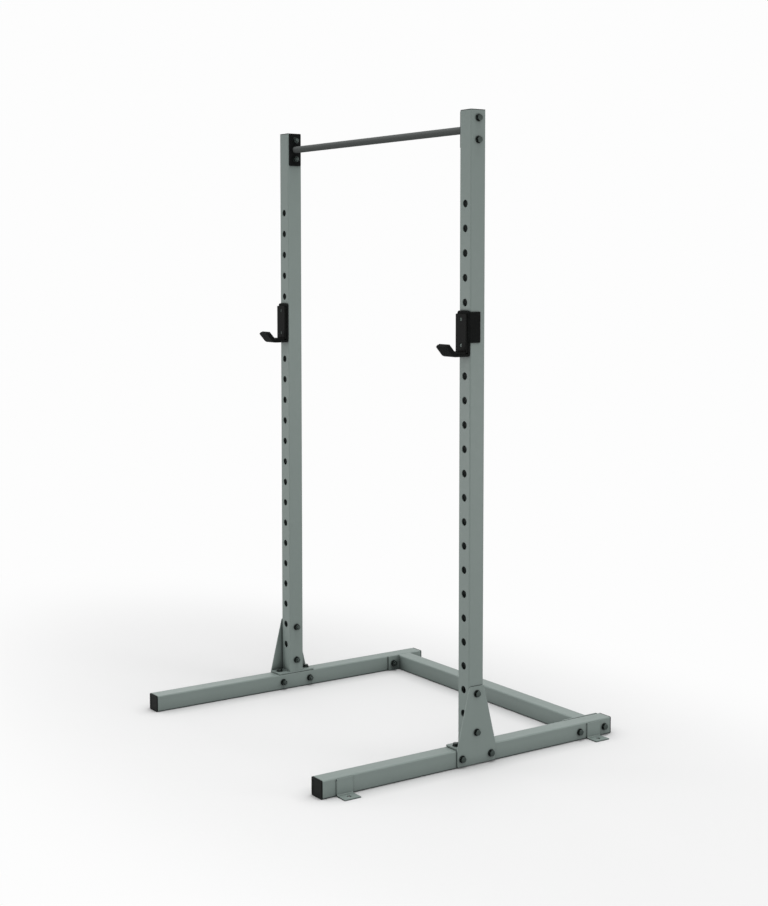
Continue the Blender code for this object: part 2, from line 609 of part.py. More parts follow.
def fasteners():
    """Bolts and nuts of both sides, outer side to inner side and base flange to foot."""
    past = WASHER_THICKNESS + NUT_HEIGHT + THREAD_PAST_NUT + 2 * SEAT_GAP
    gusset_grip = GUSSET_THICKNESS + TUBE + SEAT_GAP
    cross_grip = TUBE + FLANGE_THICKNESS + SEAT_GAP
    bar_grip = TUBE + BAR_FLANGE_THICKNESS + SEAT_GAP
    gusset_bolt = bolt_mesh("gusset_bolt", gusset_grip + past)
    cross_bolt = bolt_mesh("cross_bolt", cross_grip + past)
    bar_bolt = bolt_mesh("bar_bolt", bar_grip + past)
    base_bolt = bolt_mesh("base_bolt", FLANGE_THICKNESS + TUBE_WALL + WELD_NUT_HEIGHT + 2 * SEAT_GAP)
    nut = nut_mesh("nut")
    face = RACK_WIDTH / 2
    gusset_face = face + SEAT_GAP + GUSSET_THICKNESS
    cross_inside = TUBE_INSIDE_X - SEAT_GAP - FLANGE_THICKNESS
    bar_inside = TUBE_INSIDE_X - SEAT_GAP - BAR_FLANGE_THICKNESS
    for side_name, side in SIDES:
        ends = (side_name, side)
        for level, z in zip(("upper", "lower"), GUSSET_BOLTS_Z):
            through_bolt(f"upright_{level}", *ends, gusset_bolt, nut, gusset_face, TUBE_INSIDE_X, 0, z)
        for level, z in zip(("upper", "lower"), BAR_BOLTS_Z):
            through_bolt(f"bar_{level}", *ends, bar_bolt, nut, face, bar_inside, 0, z)
        for end, y in zip(("front", "rear"), BASE_BOLTS_Y):
            through_bolt(f"foot_{end}", *ends, gusset_bolt, nut, gusset_face, TUBE_INSIDE_X, y, TUBE / 2)
            seat = (side * UPRIGHT_X, y, BASE_FLANGE_TOP + SEAT_GAP)
            place(f"base_bolt_{side_name}_{end}", base_bolt, STEEL, RACK, seat)
        for end, y in zip(("front", "rear"), CROSS_BOLTS_Y):
            through_bolt(f"cross_{end}", *ends, cross_bolt, nut, face, cross_inside, y, TUBE / 2)


def clear_unused_helpers():
    """Drop the helpers of shapes whose modifiers are already built in."""
    used = {step.object for piece in RACK.objects for step in piece.modifiers if step.type == "BOOLEAN"}
    for tool in list(HELPERS.objects):
        if tool not in used:
            bpy.data.objects.remove(tool)


start_empty()
RACK = new_collection("quarter_rack")
HELPERS = new_collection("helpers")
SAGE = finish("sage_powder_coat", "77837E", 0.5)
BLACK_COAT = finish("black_powder_coat", "202221", 0.55)
STEEL = finish("blackened_steel", "26282A", 0.4, 0.9)
PLASTIC = finish("black_polythene", "1C1E1D", 0.6)
LINER = finish("black_wear_plastic", "151515", 0.45)

CRADLE_PIN = cradle_pin()
for SIDE_NAME, SIDE in SIDES:
    upright(SIDE_NAME, SIDE)
    gusset_plate(SIDE_NAME, SIDE)
    foot(SIDE_NAME, SIDE)
    floor_tab(SIDE_NAME, SIDE, "front", -1)
    floor_tab(SIDE_NAME, SIDE, "rear", 1)
    j_cup(SIDE_NAME, SIDE, CRADLE_PIN)
rear_cross_member()
pull_up_bar()
end_caps()
fasteners()
clear_unused_helpers()
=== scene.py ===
# %% [markdown]
# Quarter rack: fine forms and finishes.
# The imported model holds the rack's pieces as plain faceted solids, each in its right place. This script
# loads it as a fixed frame, lights it like a catalogue photograph, and gives each piece the form and the
# finish that the solids leave out: round holes with broken edges, rolled tube corners, weld beads, hexagons
# with turned chamfers, and coatings with their grain. One Blender unit is a metre, so a size in millimetres
# is written as a number times MM.

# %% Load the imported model
import math

import bmesh
import bpy
from mathutils import Matrix, Vector, noise


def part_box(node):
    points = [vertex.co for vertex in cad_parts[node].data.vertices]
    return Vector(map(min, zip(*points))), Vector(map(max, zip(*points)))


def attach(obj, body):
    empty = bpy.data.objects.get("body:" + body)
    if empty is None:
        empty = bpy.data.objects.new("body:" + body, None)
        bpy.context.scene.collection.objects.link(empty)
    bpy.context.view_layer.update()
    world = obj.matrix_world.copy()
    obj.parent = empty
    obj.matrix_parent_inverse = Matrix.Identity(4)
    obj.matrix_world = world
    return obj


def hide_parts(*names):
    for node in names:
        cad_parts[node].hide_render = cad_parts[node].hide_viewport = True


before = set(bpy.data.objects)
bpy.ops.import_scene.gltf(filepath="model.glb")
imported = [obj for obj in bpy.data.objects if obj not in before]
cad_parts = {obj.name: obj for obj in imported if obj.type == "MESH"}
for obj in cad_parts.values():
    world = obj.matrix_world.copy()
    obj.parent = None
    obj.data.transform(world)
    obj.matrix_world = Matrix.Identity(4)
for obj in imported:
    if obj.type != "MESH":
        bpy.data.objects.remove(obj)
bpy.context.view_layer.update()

MM = 0.001

# %% [markdown]
# The camera comes first, because everything else is judged through it. It could be set by eye, but half a
# degree of error already shows on tubes this long. So its place was worked out: the straight edges of the
# tubes give the vanishing points, and the tubes' known sizes give the distance. It looks down by only four
# degrees, and a vertical shift of the lens does the rest of the framing, because a steeper camera would
# make the uprights lean towards each other.

# %% Camera
IMAGE_HEIGHT = 906  # pixels; the image is 768 wide
FOCAL_LENGTH = 1544.5  # pixels
CENTRE_ROW = 374.5  # image row that the lens looks at
CAMERA_PLACE = (4.558, -3.096, 1.653)
CAMERA_AZIMUTH = 55.44  # degrees round from the front towards the right side
CAMERA_DOWN = 4.07  # degrees
SENSOR = 36.0  # mm


def put(name, data):
    """New object that holds the data, linked into the scene."""
    item = bpy.data.objects.new(name, data)
    bpy.context.scene.collection.objects.link(item)
    return item


lens = bpy.data.cameras.new("catalogue_camera")
lens.sensor_width = SENSOR
lens.sensor_fit = "AUTO"
lens.lens = SENSOR * FOCAL_LENGTH / IMAGE_HEIGHT
lens.shift_y = (CENTRE_ROW - IMAGE_HEIGHT / 2) / IMAGE_HEIGHT
camera = put("catalogue_camera", lens)
camera.location = CAMERA_PLACE
camera.rotation_euler = (math.radians(90 - CAMERA_DOWN), 0, math.radians(CAMERA_AZIMUTH))
bpy.context.scene.camera = camera
print("lens:", round(lens.lens, 2), "mm, shift:", round(lens.shift_y, 4))

# %% [markdown]
# Paint and plastic colours are written as sRGB hex values, as on a screen or a colour card, but a renderer
# adds and multiplies light, so it needs linear values. They could be typed in as linear numbers, which
# nobody can picture. So one function turns every hex value below into linear light.

# %% Colours
def linear(hex_colour):
    """Linear RGBA of an sRGB hex colour."""
    channels = [int(hex_colour[i:i + 2], 16) / 255 for i in (0, 2, 4)]
    return (*[c / 12.92 if c <= 0.04045 else ((c + 0.055) / 1.055) ** 2.4 for c in channels], 1)


print("hex 808080 is", round(linear("808080")[0], 3), "in linear light")

# %% [markdown]
# A finish is a small tree of nodes. Written out, each node takes four or five lines to make, set and link,
# and the idea of the finish gets lost among them. So one helper adds a node with its settings and its links
# in one call. Another starts a material with a shader at typical values, and with the piece's own
# coordinates in metres, so that every pattern has its real size and moves along with its piece.

# %% Node helpers
SHARE, COLOUR_A, COLOUR_B, COLOUR_OUT = 0, 6, 7, 2  # sockets of a Mix node that mixes colours


def add_node(tree, kind, inputs=None, **settings):
    """Add a node with its settings, and set or link its inputs."""
    node = tree.nodes.new(kind)
    for name, value in settings.items():
        setattr(node, name, value)
    for name, value in (inputs or {}).items():
        if isinstance(value, bpy.types.NodeSocket):
            tree.links.new(value, node.inputs[name])
        else:
            node.inputs[name].default_value = value
    return node


def start_material(name, colour, roughness, metallic=0.0, ior=None, specular=0.5):
    """Material with its tree, its Principled shader at typical values, and object coordinates."""
    material = bpy.data.materials.new(name)
    material.use_nodes = True
    material.diffuse_color = linear(colour)
    tree = material.node_tree
    shader = tree.nodes["Principled BSDF"]
    shader.inputs["Base Color"].default_value = linear(colour)
    shader.inputs["Roughness"].default_value = roughness
    shader.inputs["Metallic"].default_value = metallic
    shader.inputs["Specular IOR Level"].default_value = specular
    if ior:
        shader.inputs["IOR"].default_value = ior
    place = add_node(tree, "ShaderNodeTexCoord").outputs["Object"]
    return material, tree, shader, place


print("colour sockets of a Mix node:", COLOUR_A, "and", COLOUR_B)

# %% [markdown]
# A catalogue picture is shot on a white sweep, a sheet that runs under the object and up behind it. The
# sheet could be modelled with its curve, but a curve that suits one view stands in the way of another. One
# broad flat plane, under a world of the same white, looks right from every side.

# %% Floor
FLOOR_SIZE = 60.0  # metres


def mesh_from(shape, name, outwards=True):
    """Mesh made from a bmesh, which is then freed."""
    if outwards:
        bmesh.ops.recalc_face_normals(shape, faces=shape.faces)
    mesh = bpy.data.meshes.new(name)
    shape.to_mesh(mesh)
    shape.free()
    return mesh


floor_shape = bmesh.new()
bmesh.ops.create_grid(floor_shape, x_segments=1, y_segments=1, size=FLOOR_SIZE / 2)
floor = put("studio_floor", mesh_from(floor_shape, "studio_floor", outwards=False))
print("floor:", FLOOR_SIZE, "m square")

# %% [markdown]
# The sweep's paint is matt and pale grey, so that it takes the contact shadows. What it throws back on the
# rack is a darker grey than what the camera sees, as on a sweep whose near part is in the shade, which
# keeps the undersides from glowing. The soft line of shade beside each foot grounds the whole rack. It
# could be left to the lamps, but under light as soft as this it would be lost, so an Ambient Occlusion node
# deepens the grey by a few shades there.

# %% Floor paint
FLOOR_SEEN = "D6D6D6"
FLOOR_BOUNCE = "8C8C8C"
BACKDROP_WHITE = "FDFDFD"
FLOOR_ROUGHNESS, FLOOR_SPECULAR = 0.9, 0.1
CONTACT_REACH = 80 * MM
CONTACT_GREY = "6E7070"
CONTACT_SHADE = 0.42  # share of that grey where the floor is closed in
CONTACT_CLOSED = 0.4  # openness that counts as closed in
CONTACT_SAMPLES = 16


def direct_rays(tree):
    """Output that is 1 for rays from the camera, off gloss and through glass."""
    rays = add_node(tree, "ShaderNodeLightPath")
    share = rays.outputs["Is Camera Ray"]
    for kind in ("Is Glossy Ray", "Is Transmission Ray"):
        either = add_node(tree, "ShaderNodeMath", {0: share, 1: rays.outputs[kind]}, operation="MAXIMUM")
        share = either.outputs[0]
    return share


floor_paint, tree, shader, place = start_material(
    "painted_sweep", FLOOR_SEEN, FLOOR_ROUGHNESS, specular=FLOOR_SPECULAR)
direct = direct_rays(tree)
openness = add_node(
    tree, "ShaderNodeAmbientOcclusion", {"Distance": CONTACT_REACH}, samples=CONTACT_SAMPLES)
contact = add_node(tree, "ShaderNodeMapRange", {
    "Value": openness.outputs["AO"], "From Min": 1.0, "From Max": CONTACT_CLOSED,
    "To Min": 0.0, "To Max": CONTACT_SHADE})
seen = add_node(tree, "ShaderNodeMix", {
    SHARE: contact.outputs["Result"], COLOUR_A: linear(FLOOR_SEEN), COLOUR_B: linear(CONTACT_GREY)},
    data_type="RGBA")
paint = add_node(tree, "ShaderNodeMix", {
    SHARE: direct, COLOUR_A: linear(FLOOR_BOUNCE), COLOUR_B: seen.outputs[COLOUR_OUT]}, data_type="RGBA")
tree.links.new(paint.outputs[COLOUR_OUT], shader.inputs["Base Color"])
floor.data.materials.append(floor_paint)
print("floor paint:", floor_paint.name)

# %% [markdown]
# Further out the floor turns into plain white, so that no horizon shows. The floor could be lit until it
# burns out, but that light would wash out the rack as well. So the paint gives way to a white of its own,
# which only the direct rays see. The fade is an oval in the floor's own coordinates, and so it stays under
# the rack in every view.

# %% Fade to plain white
FADE_START, FADE_END = 0.5, 1.6  # metres from the middle of the fade, along Y
FADE_CENTRE = (0.3, -0.05)
FADE_SQUEEZE = 0.45  # the fade is that much slower along X

centred = add_node(tree, "ShaderNodeVectorMath", {0: place, 1: (-FADE_CENTRE[0], -FADE_CENTRE[1], 0)})
squeezed = add_node(tree, "ShaderNodeVectorMath", {
    0: centred.outputs["Vector"], 1: (FADE_SQUEEZE, 1, 1)}, operation="MULTIPLY")
distance = add_node(tree, "ShaderNodeVectorMath", {0: squeezed.outputs["Vector"]}, operation="LENGTH")
fade = add_node(tree, "ShaderNodeMapRange", {
    "Value": distance.outputs["Value"], "From Min": FADE_START, "From Max": FADE_END},
    interpolation_type="SMOOTHERSTEP")
amount = add_node(tree, "ShaderNodeMath", {0: fade.outputs["Result"], 1: direct}, operation="MULTIPLY")
white = add_node(tree, "ShaderNodeEmission", {"Color": linear(BACKDROP_WHITE), "Strength": 1.0})
sweep = add_node(tree, "ShaderNodeMixShader", {
    0: amount.outputs[0], 1: shader.outputs[0], 2: white.outputs[0]})
tree.links.new(sweep.outputs[0], tree.nodes["Material Output"].inputs["Surface"])
print("plain white from", FADE_END, "m outwards")

# %% [markdown]
# A studio lights a tall frame with broad softboxes, since a bare lamp draws hard stripes on square tube.
# The light here is a soft dome with five of them. The one high overhead makes the upward faces about half
# as bright again as the upright ones. One stands at the right, a little behind the rack: it rakes along the
# tubes and leaves the front faces a shade darker than the sides. One at the front left fills those front
# faces, and a faint one at the far left keeps the uprights' shadows soft. The last one stands beside the
# camera and faces the tubes' rolled corners, which would otherwise draw a dark line between two light
# faces. The camera, and anything glossy, sees the dome as plain white.

# %% Light
DOME_STRENGTH = 0.77
SOFTBOXES = (
    # name, place, aim, size in metres, power in watts
    ("overhead_softbox", (0.6, 0.0, 6.0), (0.0, 0.0, 0.0), 2.2, 176.0),
    ("right_softbox", (3.8, 2.3, 0.8), (0.3, 0.0, 0.7), 1.4, 30.0),
    ("left_softbox", (-4.0, 1.0, 1.4), (-0.3, 0.0, 0.7), 1.4, 5.0),
    ("front_softbox", (-2.8, -3.4, 0.7), (0.0, 0.0, 0.5), 1.6, 43.0),
    ("corner_softbox", (3.6, -3.2, 1.0), (0.3, 0.0, 0.8), 1.6, 44.0),
)

world = bpy.data.worlds.new("studio_dome")
bpy.context.scene.world = world
world.use_nodes = True
tree = world.node_tree
dome = add_node(tree, "ShaderNodeBackground", {"Color": (1, 1, 1, 1), "Strength": DOME_STRENGTH})
backdrop = add_node(tree, "ShaderNodeBackground", {"Color": linear(BACKDROP_WHITE), "Strength": 1.0})
either = add_node(tree, "ShaderNodeMixShader", {
    0: direct_rays(tree), 1: dome.outputs[0], 2: backdrop.outputs[0]})
tree.links.new(either.outputs[0], tree.nodes["World Output"].inputs["Surface"])

for name, where, aim, size, power in SOFTBOXES:
    box = bpy.data.lights.new(name, "AREA")
    box.shape = "SQUARE"
    box.size = size
    box.energy = power
    lamp = put(name, box)
    lamp.location = where
    lamp.rotation_euler = (Vector(aim) - Vector(where)).to_track_quat("-Z", "Y").to_euler()
    print("lamp:", name, power, "W")
bpy.context.scene.view_settings.view_transform = "Standard"

# %% [markdown]
# Coats thin out on sharp edges, and seams and inner corners lie in shade. Such marks could be painted on by
# hand, but then they would have to be painted again whenever a piece changes. Two masks read them off the
# form instead. A Bevel node gives the normal that a slightly rounded piece would have, and where that differs
# from the true one there is an edge. An Ambient Occlusion node tells how much of the sky a point sees within
# a short reach, and where that is little there is a seam or an inner corner, into whose colour the finishes
# below paint shade.

# %% Masks for edges and seams
BEVEL_SAMPLES, SKY_SAMPLES = 4, 8


def edge_mask(tree, width, span):
    """Value from 0 on flat ground to 1 on edges; span is the likeness of normals at 0 and at 1."""
    rounded_normal = add_node(tree, "ShaderNodeBevel", {"Radius": width}, samples=BEVEL_SAMPLES)
    true_normal = add_node(tree, "ShaderNodeNewGeometry")
    alike = add_node(tree, "ShaderNodeVectorMath", {
        0: rounded_normal.outputs["Normal"], 1: true_normal.outputs["Normal"]}, operation="DOT_PRODUCT")
    return add_node(tree, "ShaderNodeMapRange", {
        "Value": alike.outputs["Value"], "From Min": span[0], "From Max": span[1]}).outputs["Result"]


def shade_mask(tree, reach, span, blend="LINEAR"):
    """Share of painted shade: 0 in the open, 1 in corners and seams; span is the openness at 0 and at 1."""
    openness = add_node(tree, "ShaderNodeAmbientOcclusion", {"Distance": reach}, samples=SKY_SAMPLES)
    return add_node(tree, "ShaderNodeMapRange", {
        "Value": openness.outputs["AO"], "From Min": span[0], "From Max": span[1]},
        interpolation_type=blend).outputs["Result"]


print("samples of the masks:", BEVEL_SAMPLES, "and", SKY_SAMPLES)

# %% [markdown]
# The frame wears a powder coat in sage: a thermosetting polyester paint that is sprayed on dry and melted
# in an oven. It is a dielectric of IOR about 1.5 over the steel, so the shader isn't metallic. A single
# green would do from afar, but looks like plastic near by. So the tone drifts slowly along the tubes. The
# melt draws back from sharp edges, so the dark steel shows through a little there; that darker edge is also
# painted shade, which keeps the rims from drawing light lines. Seams between plates, and more faintly the
# broad inner corners, get painted shade: their colour goes dark where they see little of the sky.

# %% Satin powder coat: colour
COAT_IOR = 1.5
SAGE_COLOUR, SAGE_CLOUD = "77827E", "727D79"
# edge: thin coat and painted shade; seam: painted shade in seams and inner corners
SAGE_EDGE, SAGE_SEAM_SHADE = "59625F", "333A38"
SAGE_ROUGHNESS = 0.46
CLOUD_SIZE = 180 * MM  # slow drift of the tone along a tube
EDGE_WIDTH = 1.2 * MM
EDGE_SHARE = 0.35
SEAM_REACH, SEAM_SPAN = 12 * MM, (0.90, 0.45)
CORNER_REACH, CORNER_SPAN = 80 * MM, (0.72, 0.20)

SAGE, tree, shader, place = start_material(
    "satin_powder_coat_sage", SAGE_COLOUR, SAGE_ROUGHNESS, ior=COAT_IOR, specular=0.34)
cloud = add_node(tree, "ShaderNodeTexNoise", {"Vector": place, "Scale": 1 / CLOUD_SIZE, "Detail": 3.0})
body = add_node(tree, "ShaderNodeMix", {
    SHARE: cloud.outputs["Fac"], COLOUR_A: linear(SAGE_COLOUR), COLOUR_B: linear(SAGE_CLOUD)},
    data_type="RGBA")
# painted shade on the edges, on top of the thin coat there
thin_coat_and_shade = add_node(tree, "ShaderNodeMath", {
    0: edge_mask(tree, EDGE_WIDTH, (0.995, 0.80)), 1: EDGE_SHARE}, operation="MULTIPLY")
coat = add_node(tree, "ShaderNodeMix", {
    SHARE: thin_coat_and_shade.outputs[0], COLOUR_A: body.outputs[COLOUR_OUT], COLOUR_B: linear(SAGE_EDGE)},
    data_type="RGBA")
# painted shade in seams and inner corners
dark = add_node(tree, "ShaderNodeMath", {
    0: shade_mask(tree, SEAM_REACH, SEAM_SPAN),
    1: shade_mask(tree, CORNER_REACH, CORNER_SPAN, "SMOOTHSTEP")}, operation="MAXIMUM")
shade = add_node(tree, "ShaderNodeMix", {
    SHARE: dark.outputs[0], COLOUR_A: coat.outputs[COLOUR_OUT], COLOUR_B: linear(SAGE_SEAM_SHADE)},
    data_type="RGBA")
tree.links.new(shade.outputs[COLOUR_OUT], shader.inputs["Base Color"])
print("finish:", SAGE.name)

# %% [markdown]
# The melted powder flows into a satin skin with a slight orange peel of a millimetre or two, which breaks
# up the highlights, and handling leaves it a little duller here and there. Peel could be displaced
# geometry, but at a few hundredths of a millimetre only its shading shows, so a fine noise drives a bump,
# and a broader one strays the roughness.

# %% Satin powder coat: gloss and peel
SMEAR = 0.06  # how far the roughness strays
SMEAR_SIZE = 25 * MM
PEEL_SIZE, PEEL_HEIGHT = 2.2 * MM, 0.06 * MM

smear = add_node(tree, "ShaderNodeTexNoise", {"Vector": place, "Scale": 1 / SMEAR_SIZE, "Detail": 4.0})
gloss = add_node(tree, "ShaderNodeMapRange", {
    "Value": smear.outputs["Fac"], "To Min": SAGE_ROUGHNESS - SMEAR, "To Max": SAGE_ROUGHNESS + SMEAR})
tree.links.new(gloss.outputs["Result"], shader.inputs["Roughness"])
peel = add_node(tree, "ShaderNodeTexNoise", {"Vector": place, "Scale": 1 / PEEL_SIZE, "Detail": 1.0})
bump = add_node(tree, "ShaderNodeBump", {
    "Height": peel.outputs["Fac"], "Strength": 0.25, "Distance": PEEL_HEIGHT})
tree.links.new(bump.outputs["Normal"], shader.inputs["Normal"])
print("peel:", round(PEEL_SIZE / MM, 1), "mm apart")

# %% [markdown]
# The cradles and the pull-up bar's flanges wear a texture coat: powder with a filler that melts into fine
# grains about a millimetre apart, which hides scratches and takes all gloss away. The bar itself has a
# greyer grip coat of the same kind. Plain noise would look like dirt; Voronoi cells make round grains that
# lie side by side, as the real ones do. Where hands and steel rub an edge, the coat is a little lighter.

# %% Texture coats
GRAIN_SIZE, GRAIN_HEIGHT = 1.1 * MM, 0.12 * MM
GRIP_SIZE, GRIP_HEIGHT = 0.9 * MM, 0.10 * MM
TEXTURE_ROUGHNESS = 0.62
GRAIN_TOPS = 0.22  # how much of the worn colour the grains' tops show
SPECKLE = 2.5  # patches of wear, in grains


def texture_coat(name, colour, worn_colour, grain, height, wear):
    """Grained powder coat, rubbed lighter on its edges."""
    material, tree, shader, place = start_material(
        name, colour, TEXTURE_ROUGHNESS, ior=COAT_IOR, specular=0.04)
    grains = add_node(tree, "ShaderNodeTexVoronoi", {"Vector": place, "Scale": 1 / grain})
    speckle = add_node(tree, "ShaderNodeTexNoise", {
        "Vector": place, "Scale": 1 / (SPECKLE * grain), "Detail": 3.0})
    patchy = add_node(tree, "ShaderNodeMapRange", {
        "Value": speckle.outputs["Fac"], "From Min": 0.35, "From Max": 0.7,
        "To Min": 0.2 * wear, "To Max": wear})
    worn = add_node(tree, "ShaderNodeMath", {
        0: edge_mask(tree, EDGE_WIDTH, (0.99, 0.75)), 1: patchy.outputs["Result"]}, operation="MULTIPLY")
    tops = add_node(tree, "ShaderNodeMapRange", {
        "Value": grains.outputs["Distance"], "From Min": 0.0, "From Max": 0.7,
        "To Min": GRAIN_TOPS, "To Max": 0.0})
    lighter = add_node(tree, "ShaderNodeMath", {
        0: worn.outputs[0], 1: tops.outputs["Result"]}, operation="ADD", use_clamp=True)
    coat = add_node(tree, "ShaderNodeMix", {
        SHARE: lighter.outputs[0], COLOUR_A: linear(colour), COLOUR_B: linear(worn_colour)},
        data_type="RGBA")
    tree.links.new(coat.outputs[COLOUR_OUT], shader.inputs["Base Color"])
    gloss = add_node(tree, "ShaderNodeMapRange", {
        "Value": speckle.outputs["Fac"], "To Min": TEXTURE_ROUGHNESS - 0.08,
        "To Max": TEXTURE_ROUGHNESS + 0.1})
    tree.links.new(gloss.outputs["Result"], shader.inputs["Roughness"])
    bump = add_node(tree, "ShaderNodeBump", {
        "Height": grains.outputs["Distance"], "Strength": 0.6, "Distance": height}, invert=True)
    tree.links.new(bump.outputs["Normal"], shader.inputs["Normal"])
    return material


BLACK_TEXTURE = texture_coat("black_texture_coat", "040505", "4A4D4B", GRAIN_SIZE, GRAIN_HEIGHT, 0.7)
GRIP_COAT = texture_coat("graphite_grip_coat", "4B4E4D", "6E7170", GRIP_SIZE, GRIP_HEIGHT, 0.3)
print("finishes:", BLACK_TEXTURE.name, GRIP_COAT.name)

# %% [markdown]
# The fasteners are zinc-plated steel with a black passivate: metal under a thin dark film. The film could
# be a coat over a shiny base, but it is far thinner than a paint and shows no skin of its own, so the
# shader is metallic with a dark base, and keeps its default IOR. The film wears off the hexagon's corners
# first, where the spanner bears, and the grey zinc shows through; those grey corners also serve as painted
# glints. Round the seat, where head, washer and plate meet, the metal sees little but itself, so painted
# shade takes the colour down to near black there.

# %% Black zinc
# worn: worn zinc that also serves as painted glints; seat: painted shade round the seat
ZINC_COLOUR, ZINC_WORN_AND_GLINT, ZINC_SEAT_SHADE = "3D4542", "70787A", "040605"
ZINC_ROUGHNESS = 0.34
HAZE_SIZE, HAZE_HEIGHT = 4 * MM, 0.03 * MM
ZINC_EDGE = 0.7 * MM
SEAT_REACH, SEAT_SPAN = 12 * MM, (0.98, 0.62)

BLACK_ZINC, tree, shader, place = start_material(
    "black_zinc_plate", ZINC_COLOUR, ZINC_ROUGHNESS, metallic=0.85)
haze = add_node(tree, "ShaderNodeTexNoise", {"Vector": place, "Scale": 1 / HAZE_SIZE, "Detail": 5.0})
broken = add_node(tree, "ShaderNodeMapRange", {
    "Value": haze.outputs["Fac"], "From Min": 0.4, "From Max": 0.65, "To Min": 0.05, "To Max": 0.6})
# worn corners, whose grey also serves as painted glints
bare_and_glint = add_node(tree, "ShaderNodeMath", {
    0: edge_mask(tree, ZINC_EDGE, (0.99, 0.80)), 1: broken.outputs["Result"]}, operation="MULTIPLY")
film = add_node(tree, "ShaderNodeMix", {
    SHARE: bare_and_glint.outputs[0], COLOUR_A: linear(ZINC_COLOUR), COLOUR_B: linear(ZINC_WORN_AND_GLINT)}, data_type="RGBA")
# painted shade round the seat
shade = add_node(tree, "ShaderNodeMix", {
    SHARE: shade_mask(tree, SEAT_REACH, SEAT_SPAN), COLOUR_A: film.outputs[COLOUR_OUT],
    COLOUR_B: linear(ZINC_SEAT_SHADE)}, data_type="RGBA")
tree.links.new(shade.outputs[COLOUR_OUT], shader.inputs["Base Color"])
gloss = add_node(tree, "ShaderNodeMapRange", {
    "Value": haze.outputs["Fac"], "To Min": ZINC_ROUGHNESS - 0.08, "To Max": ZINC_ROUGHNESS + 0.12})
tree.links.new(gloss.outputs["Result"], shader.inputs["Roughness"])
bump = add_node(tree, "ShaderNodeBump", {
    "Height": haze.outputs["Fac"], "Strength": 0.15, "Distance": HAZE_HEIGHT})
tree.links.new(bump.outputs["Normal"], shader.inputs["Normal"])
print("finish:", BLACK_ZINC.name)

# %% [markdown]
# The tube caps are injection-moulded polythene. The steel mould is spark-eroded, which leaves a fine grain
# and no gloss on the plastic. A flat black would lose the caps' form in the shade, so the tone drifts a
# little, as the melt flowed, and the grain is a bump of its real height.

# %% Moulded polythene
CAP_COLOUR, CAP_FLOW = "0B0E0D", "121514"
MOULD_GRAIN, MOULD_HEIGHT = 0.8 * MM, 0.08 * MM
FLOW_SIZE = 18 * MM

CAP_PLASTIC, tree, shader, place = start_material(
    "moulded_polythene", CAP_COLOUR, 0.6, ior=1.51, specular=0.08)
grain = add_node(tree, "ShaderNodeTexNoise", {"Vector": place, "Scale": 1 / MOULD_GRAIN, "Detail": 2.0})
flow = add_node(tree, "ShaderNodeTexNoise", {"Vector": place, "Scale": 1 / FLOW_SIZE, "Detail": 2.0})
tint = add_node(tree, "ShaderNodeMix", {
    SHARE: flow.outputs["Fac"], COLOUR_A: linear(CAP_COLOUR), COLOUR_B: linear(CAP_FLOW)},
    data_type="RGBA")
tree.links.new(tint.outputs[COLOUR_OUT], shader.inputs["Base Color"])
bump = add_node(tree, "ShaderNodeBump", {
    "Height": grain.outputs["Fac"], "Strength": 0.5, "Distance": MOULD_HEIGHT})
tree.links.new(bump.outputs["Normal"], shader.inputs["Normal"])
print("finish:", CAP_PLASTIC.name)

# %% [markdown]
# The cradle liners are sheet of the same plastic in its high-density grade, planed smooth. What is laid in
# the cradles polishes and scuffs them along X, in streaks a millimetre wide and much longer. Stretching the
# coordinates of one noise gives both the streaks' tone and their gloss, so that the two always agree.

# %% Wear sheet
SHEET_COLOUR, SHEET_SCUFF = "040504", "1E1F1E"
STREAKS_ALONG, STREAKS_ACROSS = 12, 900  # in a metre
STREAK_DEPTH = 0.05 * MM

LINER_PLASTIC, tree, shader, place = start_material(
    "polythene_wear_sheet", SHEET_COLOUR, 0.46, ior=1.53, specular=0.04)
drawn = add_node(tree, "ShaderNodeMapping", {
    "Vector": place, "Scale": (STREAKS_ALONG, STREAKS_ACROSS, STREAKS_ACROSS)})
streaks = add_node(tree, "ShaderNodeTexNoise", {
    "Vector": drawn.outputs["Vector"], "Scale": 1.0, "Detail": 4.0})
rub = add_node(tree, "ShaderNodeMapRange", {
    "Value": streaks.outputs["Fac"], "From Min": 0.52, "From Max": 0.75, "To Min": 0.0, "To Max": 0.4})
tint = add_node(tree, "ShaderNodeMix", {
    SHARE: rub.outputs["Result"], COLOUR_A: linear(SHEET_COLOUR), COLOUR_B: linear(SHEET_SCUFF)},
    data_type="RGBA")
tree.links.new(tint.outputs[COLOUR_OUT], shader.inputs["Base Color"])
gloss = add_node(tree, "ShaderNodeMapRange", {
    "Value": streaks.outputs["Fac"], "To Min": 0.3, "To Max": 0.55})
tree.links.new(gloss.outputs["Result"], shader.inputs["Roughness"])
bump = add_node(tree, "ShaderNodeBump", {
    "Height": streaks.outputs["Fac"], "Strength": 0.3, "Distance": STREAK_DEPTH})
tree.links.new(bump.outputs["Normal"], shader.inputs["Normal"])
print("finish:", LINER_PLASTIC.name)

# %% [markdown]
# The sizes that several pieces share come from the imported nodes' boxes, so most of the fine forms follow if
# the rack is built wider or taller. What a box can't give, such as a wall or the pitch of a row of holes,
# is written once beside the piece that first needs it.

# %% Shared sizes
SIDES = (("left", -1), ("right", 1))
upright_low, upright_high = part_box("upright_right")
foot_low, foot_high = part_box("foot_right")
TUBE = upright_high.x - upright_low.x
OUTER = upright_high.x
MIDDLE = (upright_high.x + upright_low.x) / 2
TOP = upright_high.z
FOOT_MIDDLE_Z = TUBE / 2
SEAT = 0.3 * MM  # play between pieces that lie on each other
print("tube:", round(TUBE / MM, 1), "mm, over the uprights:", round(2 * OUTER / MM, 1), "mm")

